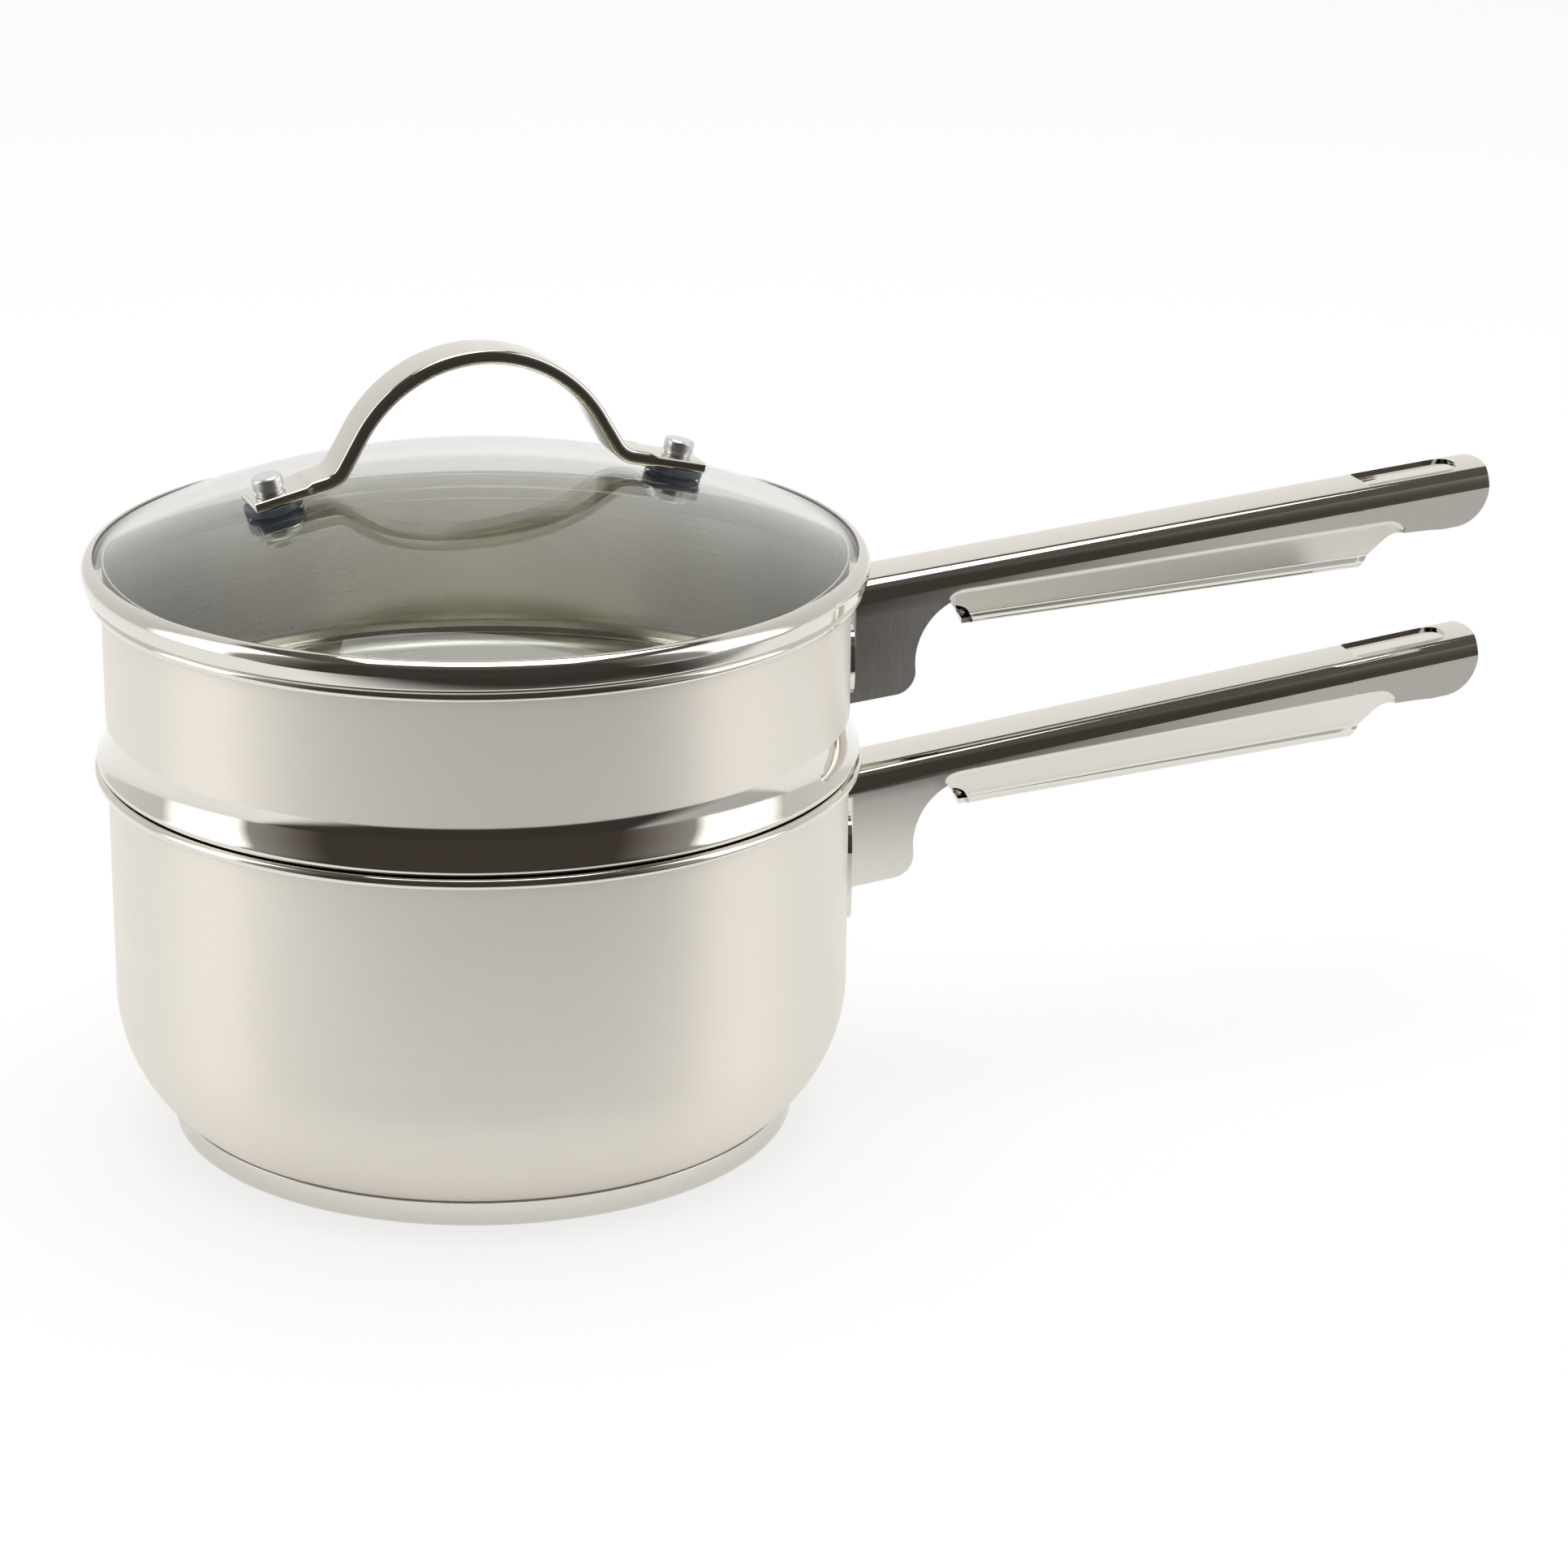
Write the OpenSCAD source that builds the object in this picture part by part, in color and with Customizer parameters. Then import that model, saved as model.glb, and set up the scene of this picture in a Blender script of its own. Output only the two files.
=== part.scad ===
// Double boiler: a saucepan, a stepped insert pan that seats on its rim, and a glass lid.
// All three turn about Z, the base rests on z = 0 and both handles point along +X.

/* [Pans] */
// Inside diameter of both pans
pan_d = 160; // [150:1:170]
// Thickness of the pan walls
wall_t = 0.8; // [0.6:0.1:1]
// Height of the saucepan's rim above the stove
pan_h = 83.5; // [76:0.5:92]
// Outer radius of the saucepan's belly curve
belly_r = 33; // [28:0.5:36]
// Outer radius of the tighter curve that runs from the belly into the floor
floor_curve_r = 10; // [8:0.5:12]
// Turn of the belly curve before the tighter curve takes over, in degrees
belly_turn = 50; // [42:1:56]
// Height of the rolled rims
bead_h = 2.6; // [2.2:0.1:3]
// Width of the rolled rims, with the wall that they end
bead_w = 3.6; // [3.2:0.1:4]

/* [Base] */
// Height of the saucepan's floor above the stove
base_h = 4; // [3.5:0.1:5]
// Thickness of the steel cap round the base
cap_t = 0.6; // [0.5:0.1:0.8]
// Radius of the cap's lower edge
cap_edge_r = 1.5; // [1.2:0.1:2]
// Number of turned rings in the underside
ring_count = 3; // [1:1:5]
// Width of a turned ring
ring_w = 1.2; // [0.8:0.1:2]
// Depth of a turned ring
ring_depth = 0.25; // [0.1:0.05:0.35]

/* [Insert] */
// Height of the insert's wall, from its ledge to its rim
insert_h = 39.6; // [36:0.2:46]
// Height of the flare at the foot of that wall
flare_h = 9.8; // [8.6:0.2:12]
// Reach of the flare beyond the wall
flare_out = 2.2; // [1.6:0.1:2.5]
// Radius of the flare's rolled lower edge
flare_edge_r = 1.2; // [1.1:0.1:1.6]
// Depth of the nested bowl below the ledge
bowl_depth = 48; // [40:1:54]
// Radius of the bowl's floor corner
bowl_corner_r = 9; // [6:0.5:14]
// Radius of the curve between bowl and ledge
ledge_curve_r = 2; // [1.5:0.1:2.4]
// Gap between the bowl and the saucepan's wall
bowl_gap = 3.6; // [3.2:0.1:5]
// Clearance under the ledge and under the lid
seat_gap = 0.3; // [0.25:0.05:0.6]

/* [Handles] */
// Reach of the handles from the pan wall to the tip
handle_len = 163.5; // [140:0.5:178]
// Width of the handles
handle_w = 18; // [16:0.5:22]
// Thickness of the handle sheet
handle_t = 1.2; // [1:0.1:1.4]
// Radius of the crowned top
crown_r = 30; // [24:1:50]
// Radius of the top's long edges
shoulder_r = 5; // [4:0.5:6]
// Drop from the saucepan's rim to the top of its handle
pan_handle_drop = 12.6; // [10:0.2:16]
// Upward tilt of the saucepan's handle, in degrees
pan_handle_tilt = 5.6; // [3:0.1:6.5]
// Drop from the insert's rim to the top of its handle
insert_handle_drop = 8.6; // [7.5:0.1:10]
// Upward tilt of the insert's handle, in degrees
insert_handle_tilt = 4.6; // [3:0.1:6.5]
// Depth of the neck plates that run down the pan wall
neck_depth = 27.6; // [25:0.2:30]
// Reach of the neck plates from the pan wall
neck_reach = 18.2; // [16:0.2:20]
// Radius of the neck plates' lower corner
neck_corner_r = 5; // [3:0.5:6]
// Radius of the arch that is cut out behind the neck
neck_arch_r = 12; // [10:0.5:13]
// Depth below the handle's top at which that arch ends
neck_arch_depth = 8.4; // [8:0.2:9.6]
// Width of each weld flange
flange_w = 15; // [12:0.5:18]
// Inside radius of the bend between neck plate and flange
bend_r = 2; // [1.5:0.1:2.5]
// Depth of the closed tube at its pan end
tube_depth = 17.2; // [16.2:0.2:18.4]
// Fall of the tube's underside away from the top, in degrees
tube_fall = 2.5; // [1.5:0.1:3]
// Height of the tube below the creases where its flanks turn in
flank_h = 11.6; // [10.4:0.1:11.8]
// Radius of the bead that ends both flanks underneath
keel_r = 2.2; // [2:0.1:2.6]
// Depth of the open tip's sides where they leave the tube
tip_depth = 12.2; // [11:0.2:13]
// Reach of the open tip beyond the tube
tip_len = 25.7; // [22:0.1:30]
// Radius of the tip's lower corners
tip_corner_r = 9; // [6:0.5:9.5]
// Radius of the tip's end, seen from above
tip_end_r = 30; // [24:1:60]
// Length of the hang slot
slot_len = 24.8; // [18:0.2:26]
// Width of the hang slot
slot_w = 10.8; // [9.8:0.2:12]
// Metal left between the slot and the tip
slot_margin = 6.3; // [5.5:0.1:9]

/* [Lid] */
// Rise of the glass from its band to its crown
glass_rise = 18.1; // [14:0.2:22]
// Thickness of the glass
glass_t = 4; // [3.5:0.1:4.5]
// Height of the steel band
band_h = 6; // [5.6:0.1:6.6]
// Overhang of the band beyond the rolled rim
band_over = 1.3; // [0.9:0.1:1.6]
// Thickness of the band sheet
band_t = 0.5; // [0.4:0.05:0.6]
// Radius of the band's rounded top
band_round_r = 3.2; // [3:0.1:3.6]
// Drop of the guide ring into the pan
guide_drop = 4.5; // [3:0.5:7]
// Clearance between the guide ring and the pan wall
guide_gap = 0.6; // [0.4:0.1:1.5]
// Clearance between the band and the glass edge
glass_play = 0.05; // [0.03:0.01:0.1]

/* [Strap handle] */
// Distance between the two rivets, along the dome's chord
rivet_span = 89.4; // [84:0.2:96]
// Height of the strap's top above the glass crown
strap_rise = 26.6; // [24:0.2:32]
// Width of the strap
strap_w = 11; // [9:0.2:12]
// Thickness of the strap
strap_t = 3.2; // [2.8:0.1:3.6]
// Radius of the strap's long edges
strap_edge_r = 1; // [0.6:0.1:1.3]
// Radius of the arch along the middle of the strap
arch_r = 30.8; // [28:0.2:33]
// Turn of the arch either side of its top, in degrees
arch_turn = 60; // [54:1:62]
// Radius of the bend into the feet
foot_bend_r = 6; // [5:0.1:6.5]
// Thickness of the flattened feet
foot_t = 2.2; // [2:0.1:2.6]
// Width of the flattened feet
foot_w = 11.8; // [11:0.2:12.4]
// Reach of a foot beyond its rivet
foot_reach = 5.2; // [4.6:0.1:6.5]
// Diameter of the rivet shank
shank_d = 5; // [4:0.2:5.4]
// Diameter of the closed rivet head on top
head_d = 6.6; // [6:0.2:8]
// Height of the closed rivet head
head_h = 2.7; // [2:0.1:3.5]
// Height of the collar under the closed head
collar_h = 0.8; // [0.5:0.1:1.2]
// Diameter of the flat rivet head inside the lid
flat_head_d = 9.4; // [9:0.2:11]
// Height of the flat rivet head
flat_head_h = 1.6; // [1.2:0.1:2.2]
// Diameter of the gaskets
gasket_d = 12.6; // [12:0.2:14]
// Thickness of the gaskets
gasket_t = 1.7; // [1.2:0.1:2.2]
// Wall of the sleeve that lines the hole in the glass
sleeve_t = 0.8; // [0.5:0.1:1]
// Diameter of the steel washers inside the lid
washer_d = 11.4; // [10.6:0.2:12.4]
// Thickness of the steel washers
washer_t = 0.8; // [0.5:0.1:1.2]
// Clearance round the shank and the sleeve
hole_gap = 0.1; // [0.05:0.05:0.2]

/* [Hidden] */
$fn = 96;

far = 400;                              // reach of the cutting shapes
join = 0.05;                            // overlap where runs of one sheet are fused
arc_bite = 0.02;                        // an arc crosses the lines it would only touch
bore_r = pan_d / 2;
wall_r = bore_r + wall_t;
bead_r = bore_r + bead_w;

// Saucepan, with the centres of its belly curve and floor curve
floor_rise = (belly_r - floor_curve_r) * sin(belly_turn);
belly_c = [wall_r - belly_r, base_h + floor_curve_r + floor_rise];
floor_c = [belly_c[0] + (belly_r - floor_curve_r) * cos(belly_turn),
           base_h + floor_curve_r];
cap_inset = 0.2;                        // cap side inside the belly's foot
cap_play = 0.05;                        // cap and core stop short of the belly
cap_r = belly_c[0] + belly_r * cos(belly_turn) - cap_inset;
core_r = cap_r - cap_t;
cap_h = floor_c[1] - sqrt(pow(floor_curve_r, 2) - pow(core_r - floor_c[0], 2)) - cap_play;
ring_margin = 14;                       // plain zones inside and outside the rings

// Insert, with the centres of the flare and of its rolled edge
seat_z = pan_h + seat_gap;
insert_rim_z = seat_z + insert_h;
bowl_r = bore_r - bowl_gap;
bowl_z = seat_z - bowl_depth;
flare_turn = 2 * atan(flare_out / (flare_h - flare_edge_r));
flare_arm = (flare_h - flare_edge_r) / sin(flare_turn);
flare_r = flare_arm - flare_edge_r;
flare_c = [wall_r + flare_r, seat_z + flare_h];
edge_c = [flare_c[0] - flare_arm * cos(flare_turn), seat_z + flare_edge_r];

// Handles, drawn along X with the top line at z = 0 and the pan wall at x = 0
half_w = handle_w / 2;
shoulder_y = half_w - shoulder_r;
shoulder_rise = sqrt(pow(crown_r - shoulder_r, 2) - pow(shoulder_y, 2));
shoulder_z = shoulder_rise - crown_r;
keel_z = keel_r - tube_depth;
flank_low = 0.4;                        // flanks would meet this far above the bead's foot
flank_slope = atan((flank_h - flank_low) / half_w);
keel_start = 45;                        // turns the keel's seam away from the slanted cuts
arch_c = [neck_reach + neck_arch_r, -neck_arch_depth - neck_arch_r];
heel_reach = 3.5;                       // the flanks leave the neck short of the arch's top
heel_x = arch_c[0] - heel_reach;
heel_z = arch_c[1] + sqrt(pow(neck_arch_r, 2) - pow(heel_reach, 2));
heel_run = 5.4;                         // first stretch of the cut across the tube's pan end
heel_fall = 38;                         // slopes of its two stretches, in degrees
heel_steep = 60;
knee_x = heel_x + heel_run * cos(heel_fall);
knee_z = heel_z - heel_run * sin(heel_fall);
tube_x = knee_x + (tube_depth + knee_z) / tan(heel_steep);
notch_x = handle_len - tip_len;         // where the tube's slanted end meets the tip
notch_turn = 55;                        // slant of that end, in degrees
notch_r = 4;                            // fillet between that end and the tip
tip_side = half_w - handle_t;           // inner face of the tip's sides
tip_bite = 0.3;                         // the corner's arc starts beyond the sides' end
tip_x = handle_len - tip_end_r + sqrt(pow(tip_end_r, 2) - pow(tip_side, 2)) + tip_bite;
slot_near_r = 1.5;
slot_far_r = 4.6;
flange_lift = 5.8;                      // flanges end this far below the top
flange_drop = 2.4;                      // and run this far below the neck
flange_corner_r = 6.5;
neck_gap = 0.8;                         // top of the neck stands off the pan wall
neck_step = 0.5;                        // and starts this far above the flanges
bend_c = [sqrt(pow(wall_r + handle_t + bend_r, 2) - pow(half_w + bend_r, 2)),
          half_w + bend_r];
bend_turn = atan(bend_c[1] / bend_c[0]);
bend_lap = 0.05;                        // in degrees, the flange runs into its bend
flange_turn = 30;                       // more than any flange takes of the pan's round
pan_handle_z = pan_h - pan_handle_drop;
insert_handle_z = insert_rim_z - insert_handle_drop;

// Lid band and glass
band_r = bead_r + band_over;
band_z = insert_rim_z + seat_gap;
band_taper = 0.5;                       // band narrower at its foot
band_c = [band_r - band_round_r, band_z + band_h - band_round_r];
lip_turn = 78;                          // how far the band's top rolls over the glass
lip = band_c + (band_round_r - band_t) * [cos(lip_turn), sin(lip_turn)];
glass_r = (pow(lip[0], 2) + pow(glass_rise, 2)) / (2 * glass_rise);
glass_z = lip[1] - glass_play + glass_rise - glass_r;
glass_inset = 1.4;                      // glass edge behind the band sheet
glass_edge_r = band_r - band_t - glass_inset;
guide_r = bore_r - guide_gap;
guide_t = 0.8;

// Strap handle and its rivets, with heights measured out from the glass surface
rivet_turn = asin(rivet_span / 2 / glass_r);
shank_r = shank_d / 2;
sleeve_r = shank_r + hole_gap + sleeve_t;
foot_top = gasket_t + foot_t;
under_z = -glass_t - gasket_t;
head_bevel = 0.5;
pad_reach = gasket_d / 2 + 0.4;         // reach of a foot's flattened part inwards
pad_edge_r = 0.6;
strap_lap = 0.3;                        // straight runs enter the bends by this
strap_top = glass_z + glass_r + strap_rise;
strap_c = [0, strap_top - strap_t / 2 - arch_r];
leg_dir = [cos(arch_turn), -sin(arch_turn)];
leg_top = strap_c + arch_r * [sin(arch_turn), cos(arch_turn)];
foot_dir = [cos(rivet_turn), -sin(rivet_turn)];
foot_mid = [0, glass_z]
           + (glass_r + gasket_t + foot_t / 2) * [sin(rivet_turn), cos(rivet_turn)];
leg_run = cross2(foot_mid - leg_top, foot_dir) / cross2(leg_dir, foot_dir);
knee = leg_top + leg_run * leg_dir;
knee_cut = foot_bend_r * tan((arch_turn - rivet_turn) / 2);
knee_c = knee - knee_cut * leg_dir + foot_bend_r * [sin(arch_turn), cos(arch_turn)];
foot_run = norm(foot_mid - knee) - knee_cut;

function cross2(a, b) = a[0] * b[1] - a[1] * b[0];

// A piece of a ring about the origin, from angle a0 to a1, less than half a turn
module arc_band(r, t, a0, a1) {
    mid = (a0 + a1) / 2;
    intersection() {
        difference() {
            circle(r);
            circle(r - t);
        }
        polygon([[0, 0],
                 far * [cos(a0), sin(a0)],
                 far * [cos(mid), sin(mid)],
                 far * [cos(a1), sin(a1)]]);
    }
}

// A rectangle between two corners
module strip(x0, y0, x1, y1) {
    translate([x0, y0])
        square([x1 - x0, y1 - y0]);
}

// A rectangle about the origin with four rounded corners
module rounded(w, h, r) {
    strip(r - w / 2, -h / 2, w / 2 - r, h / 2);
    strip(-w / 2, r - h / 2, w / 2, h / 2 - r);
    for (x = [r - w / 2, w / 2 - r], y = [r - h / 2, h / 2 - r])
        translate([x, y])
            circle(r);
}

// What is cut away to round a corner: toward +x and -y of the point where the arc centres
module corner_cut(r) {
    difference() {
        translate([0, -r - 1])
            square([r + 1, r + 1]);
        circle(r);
    }
}

// A rolled rim on the wall's top, its inner side flush with the bore
module rim_bead(top_z) {
    roll_r = bead_h / 2;
    strip(bore_r + roll_r, top_z - bead_h, bead_r - roll_r, top_z);
    for (x = [bore_r + roll_r, bead_r - roll_r])
        translate([x, top_z - roll_r])
            circle(roll_r);
}

module saucepan_shell() {
    color("silver")
    rotate_extrude() {
        strip(0, base_h, floor_c[0], base_h + wall_t);
        translate(floor_c)
            arc_band(floor_curve_r, wall_t, -90, -belly_turn);
        translate(belly_c)
            arc_band(belly_r, wall_t, -belly_turn, 0);
        strip(bore_r, belly_c[1], wall_r, pan_h - bead_h / 2);
        rim_bead(pan_h);
    }
}

// Aluminium disc between the pan floor and the steel cap
module base_core() {
    edge_r = cap_edge_r - cap_t;
    color("gainsboro")
    rotate_extrude()
        difference() {
            union() {
                strip(0, cap_t, core_r - edge_r, cap_h);
                strip(0, cap_edge_r, core_r, cap_h);
                translate([core_r - edge_r, cap_edge_r])
                    circle(edge_r);
            }
            strip(-1, base_h, floor_c[0], cap_h + 1);
            translate(floor_c)
                circle(floor_curve_r);
        }
}

// Steel cap under and round the core, with turned rings in its underside
module base_cap() {
    ring_step = (cap_r - 2 * ring_margin) / ring_count;
    color("silver")
    rotate_extrude()
        difference() {
            union() {
                strip(0, 0, cap_r - cap_edge_r, cap_t);
                translate([cap_r - cap_edge_r, cap_edge_r])
                    arc_band(cap_edge_r, cap_t, -90, 0);
                strip(core_r, cap_edge_r, cap_r, cap_h);
            }
            for (i = [0 : ring_count - 1])
                strip(ring_margin + i * ring_step, -1,
                      ring_margin + i * ring_step + ring_w, ring_depth);
        }
}

module insert_shell() {
    bowl_c = [bowl_r - bowl_corner_r, bowl_z + bowl_corner_r];
    ledge_c = [bowl_r + ledge_curve_r, seat_z - ledge_curve_r];
    color("silver")
    rotate_extrude() {
        strip(0, bowl_z, bowl_c[0], bowl_z + wall_t);
        translate(bowl_c)
            arc_band(bowl_corner_r, wall_t, -90, 0);
        strip(bowl_r - wall_t, bowl_c[1], bowl_r, ledge_c[1]);
        translate(ledge_c)
            arc_band(ledge_curve_r + wall_t, wall_t, 90, 180);
        strip(ledge_c[0], seat_z, edge_c[0], seat_z + wall_t);
        translate(edge_c)
            circle(flare_edge_r + arc_bite);
        translate(flare_c)
            arc_band(flare_r + wall_t, wall_t, 180, 180 + flare_turn);
        strip(bore_r, flare_c[1], wall_r, insert_rim_z - bead_h / 2);
        rim_bead(insert_rim_z);
    }
}

// Draws a flat shape across the handle and runs it out along X
module along_x(from, to) {
    translate([from, 0, 0])
        rotate([90, 0, 90])
            linear_extrude(to - from)
                children();
}

// Draws a flat shape in side view and runs it through the handle's width
module across() {
    translate([0, handle_w, 0])
        rotate([90, 0, 0])
            linear_extrude(2 * handle_w)
                children();
}

// Cross-section of crown, shoulders and sides, open far below, drawn inset by a sheet or not
module hood(inset) {
    translate([0, -crown_r])
        intersection() {
            circle(crown_r - inset, $fn = 240);
            polygon([[0, 0],
                     2 * [shoulder_y, shoulder_rise],
                     2 * [-shoulder_y, shoulder_rise]]);
        }
    for (side = [-1, 1])
        translate([side * shoulder_y, shoulder_z])
            circle(shoulder_r - inset);
    strip(inset - half_w, -2 * neck_depth, half_w - inset, shoulder_z);
}

// Cross-section of the two flanks and the bead under them, open above, inset likewise
module trough(inset) {
    meet_z = flank_low - tube_depth + inset / cos(flank_slope);
    arm = 2 * tube_depth * [cos(flank_slope), sin(flank_slope)];
    polygon([[0, meet_z], [arm[0], meet_z + arm[1]], [-arm[0], meet_z + arm[1]]]);
    translate([0, keel_z])
        rotate(keel_start)
            circle(keel_r - inset);
}

// The folded tube with its trough falling away below the hood
module tube_solid(inset) {
    intersection() {
        along_x(heel_x - 1, handle_len + 1)
            hood(inset);
        translate([tube_x, 0, 0])
            rotate([0, tube_fall, 0])
                along_x(-tube_x, handle_len)
                    trough(inset);
    }
}

// Side view of the tube and the open tip
module tube_outline() {
    reach = 2 * tube_depth;
    notch = [notch_x, -tip_depth];
    slant = [-cos(notch_turn), -sin(notch_turn)];
    edge = [cos(tube_fall), -sin(tube_fall)];
    fillet = notch_r * tan((notch_turn + tube_fall) / 2);
    corner_x = tip_x - tip_corner_r;
    corner_z = -tip_depth - (corner_x - notch_x) * tan(tube_fall)
               + tip_corner_r / cos(tube_fall);
    difference() {
        polygon([[heel_x - join, 1],
                 [heel_x - join, heel_z + join],
                 [knee_x, knee_z],
                 [knee_x + reach, knee_z - reach * tan(heel_steep)],
                 notch + reach * slant,
                 notch + fillet * slant,
                 notch + fillet * edge,
                 notch + 2 * tip_len * edge,
                 [handle_len + tip_len, 1]]);
        translate(notch + fillet * edge - notch_r * [sin(tube_fall), cos(tube_fall)])
            circle(notch_r + arc_bite);
        translate([corner_x, corner_z])
            rotate(-tube_fall)
                corner_cut(tip_corner_r);
        strip(tip_x + tip_corner_r, -reach, handle_len + 2 * tip_len, corner_z);
    }
}

// Plan view of what lies beyond the rounded end of the tip
module end_cut() {
    difference() {
        strip(handle_len - tip_end_r, -handle_w, handle_len + far, handle_w);
        translate([handle_len - tip_end_r, 0])
            circle(tip_end_r);
    }
}

// Side view of the neck plates and of the bridge to the tube
module neck_outline() {
    difference() {
        polygon([[-handle_t, 1],
                 [-handle_t - neck_depth, -neck_depth],
                 [neck_reach, -neck_depth],
                 [neck_reach, arch_c[1]],
                 [heel_x, arch_c[1]],
                 [heel_x, 1]]);
        translate(arch_c)
            circle(neck_arch_r);
        translate([neck_reach - neck_corner_r, neck_corner_r - neck_depth])
            corner_cut(neck_corner_r);
    }
}

// Plan view of the hang slot, square-ended toward the pan and round toward the tip
module slot_plan() {
    x1 = handle_len - slot_margin;
    x0 = x1 - slot_len;
    w = slot_w / 2;
    strip(x0 + slot_near_r, -w, x1 - slot_far_r, w);
    strip(x0, slot_near_r - w, x1 - slot_far_r, w - slot_near_r);
    strip(x0, slot_far_r - w, x1, w - slot_far_r);
    for (side = [-1, 1]) {
        translate([x0 + slot_near_r, side * (w - slot_near_r)])
            circle(slot_near_r);
        translate([x1 - slot_far_r, side * (w - slot_far_r)])
            circle(slot_far_r);
    }
}

// The folded sheet without its flanges
module pressing() {
    difference() {
        union() {
            intersection() {
                difference() {
                    along_x(-neck_depth, heel_x)
                        hood(0);
                    along_x(-neck_depth - 1, heel_x + 1)
                        hood(handle_t);
                }
                across()
                    neck_outline();
            }
            intersection() {
                difference() {
                    tube_solid(0);
                    tube_solid(handle_t);
                }
                across()
                    tube_outline();
            }
        }
        translate([0, 0, -shoulder_r - handle_t])
            linear_extrude(2 * shoulder_r)
                slot_plan();
        translate([0, 0, -2 * tube_depth])
            linear_extrude(3 * tube_depth)
                end_cut();
    }
}

// One weld flange on the pan wall, with the bend that joins it to its neck plate
module flange(foot_z, neck_z, high_z) {
    near_y = bend_c[1] - bend_r * sin(bend_turn);
    far_y = near_y + flange_w;
    drop = neck_z - foot_z;
    intersection() {
        translate([0, 0, foot_z])
            linear_extrude(high_z - foot_z) {
                translate(bend_c)
                    arc_band(bend_r + handle_t, handle_t, 180 + bend_turn, 270);
                arc_band(wall_r + handle_t, handle_t, bend_turn - bend_lap, bend_turn + flange_turn);
                strip(bend_c[0] - join, half_w - handle_t, bend_c[0] + handle_t, half_w);
            }
        rotate([90, 0, 90])
            linear_extrude(far)
                difference() {
                    strip(0, foot_z, far_y, high_z);
                    translate([far_y - flange_corner_r, foot_z + flange_corner_r])
                        corner_cut(flange_corner_r);
                    translate([far_y - flange_corner_r, high_z - flange_corner_r])
                        mirror([0, 1])
                            corner_cut(flange_corner_r);
                    if (drop > 0) {
                        strip(-1, foot_z - 1, near_y, neck_z);
                        translate([near_y + drop, neck_z])
                            mirror([1, 0])
                                corner_cut(drop);
                    }
                }
    }
}

// A whole handle: its top meets the pan wall at top_z and its flanges end at foot_z
module handle(top_z, tilt, foot_z) {
    neck_z = top_z - neck_depth * cos(tilt);
    high_z = top_z - flange_lift;
    intersection() {
        translate([wall_r, 0, top_z])
            rotate([0, -tilt, 0])
                pressing();
        union() {
            translate([bend_c[0], -handle_w, 0])
                cube([far, 2 * handle_w, far]);
            difference() {
                translate([0, -handle_w, high_z + neck_step])
                    cube([far, 2 * handle_w, far]);
                cylinder(r = wall_r + neck_gap, h = far);
            }
        }
    }
    for (side = [0, 1])
        mirror([0, side, 0])
            flange(foot_z, neck_z, high_z);
}

module saucepan_handle() {
    color("lightgray")
    handle(pan_handle_z, pan_handle_tilt, pan_handle_z - neck_depth - flange_drop);
}

module insert_handle() {
    color("lightgray")
    handle(insert_handle_z, insert_handle_tilt, flare_c[1] + seat_gap);
}

// Places a piece on the glass at one rivet, +1 right or -1 left, with z out of the dome
module at_rivet(side) {
    translate([0, 0, glass_z])
        rotate([0, side * rivet_turn, 0])
            translate([0, 0, glass_r])
                children();
}

module lid_glass() {
    color("lightcyan", 0.5)
    difference() {
        rotate_extrude()
            intersection() {
                translate([0, glass_z])
                    difference() {
                        circle(glass_r, $fn = 360);
                        circle(glass_r - glass_t, $fn = 360);
                    }
                strip(0, band_z + band_t + glass_play, glass_edge_r, far);
            }
        for (side = [-1, 1])
            at_rivet(side)
                translate([0, 0, -2 * glass_t])
                    cylinder(r = sleeve_r + hole_gap, h = 3 * glass_t);
    }
}

// Steel band crimped round the glass, with a guide ring that drops into the pan
module lid_band() {
    foot_r = band_r - band_taper;
    inner_r = guide_r - guide_t;
    inner_lip = glass_z + sqrt(pow(glass_r - glass_t, 2) - pow(inner_r + band_t, 2));
    color("silver")
    rotate_extrude() {
        translate(band_c)
            arc_band(band_round_r, band_t, 0, lip_turn);
        polygon([[band_r, band_c[1]],
                 [band_r - band_t, band_c[1]],
                 [foot_r - band_t, band_z + band_t],
                 [foot_r, band_z + band_t]]);
        translate([foot_r - band_t, band_z + band_t])
            circle(band_t);
        strip(inner_r, band_z, foot_r - band_t, band_z + band_t);
        strip(inner_r, band_z - guide_drop + guide_t / 2, guide_r, band_z + band_t);
        translate([guide_r - guide_t / 2, band_z - guide_drop + guide_t / 2])
            circle(guide_t / 2);
        strip(inner_r, band_z, inner_r + band_t, inner_lip - glass_play);
    }
}

// Turns a section about a point of the side view, from one angle through a sweep
module swept(centre, start, sweep, r) {
    translate([centre[0], 0, centre[1]])
        rotate([90, 0, 0])
            rotate([0, 0, start])
                rotate_extrude(angle = sweep)
                    translate([r, 0])
                        children();
}

// Runs a section from a point of the side view, falling by the given angle
module run_out(start, fall, length) {
    translate([start[0], 0, start[1]])
        rotate([0, 90 + fall, 0])
            linear_extrude(length)
                children();
}

// The strap's section; a straight run is a hair slimmer than the bends that it enters
module strap_section(slim) {
    rounded(strap_t - 2 * slim, strap_w - 2 * slim, strap_edge_r - slim);
}

module strap_run(start, fall, length) {
    run_out(start - strap_lap * [cos(fall), -sin(fall)], fall, length + 2 * strap_lap)
        strap_section(arc_bite);
}

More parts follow.
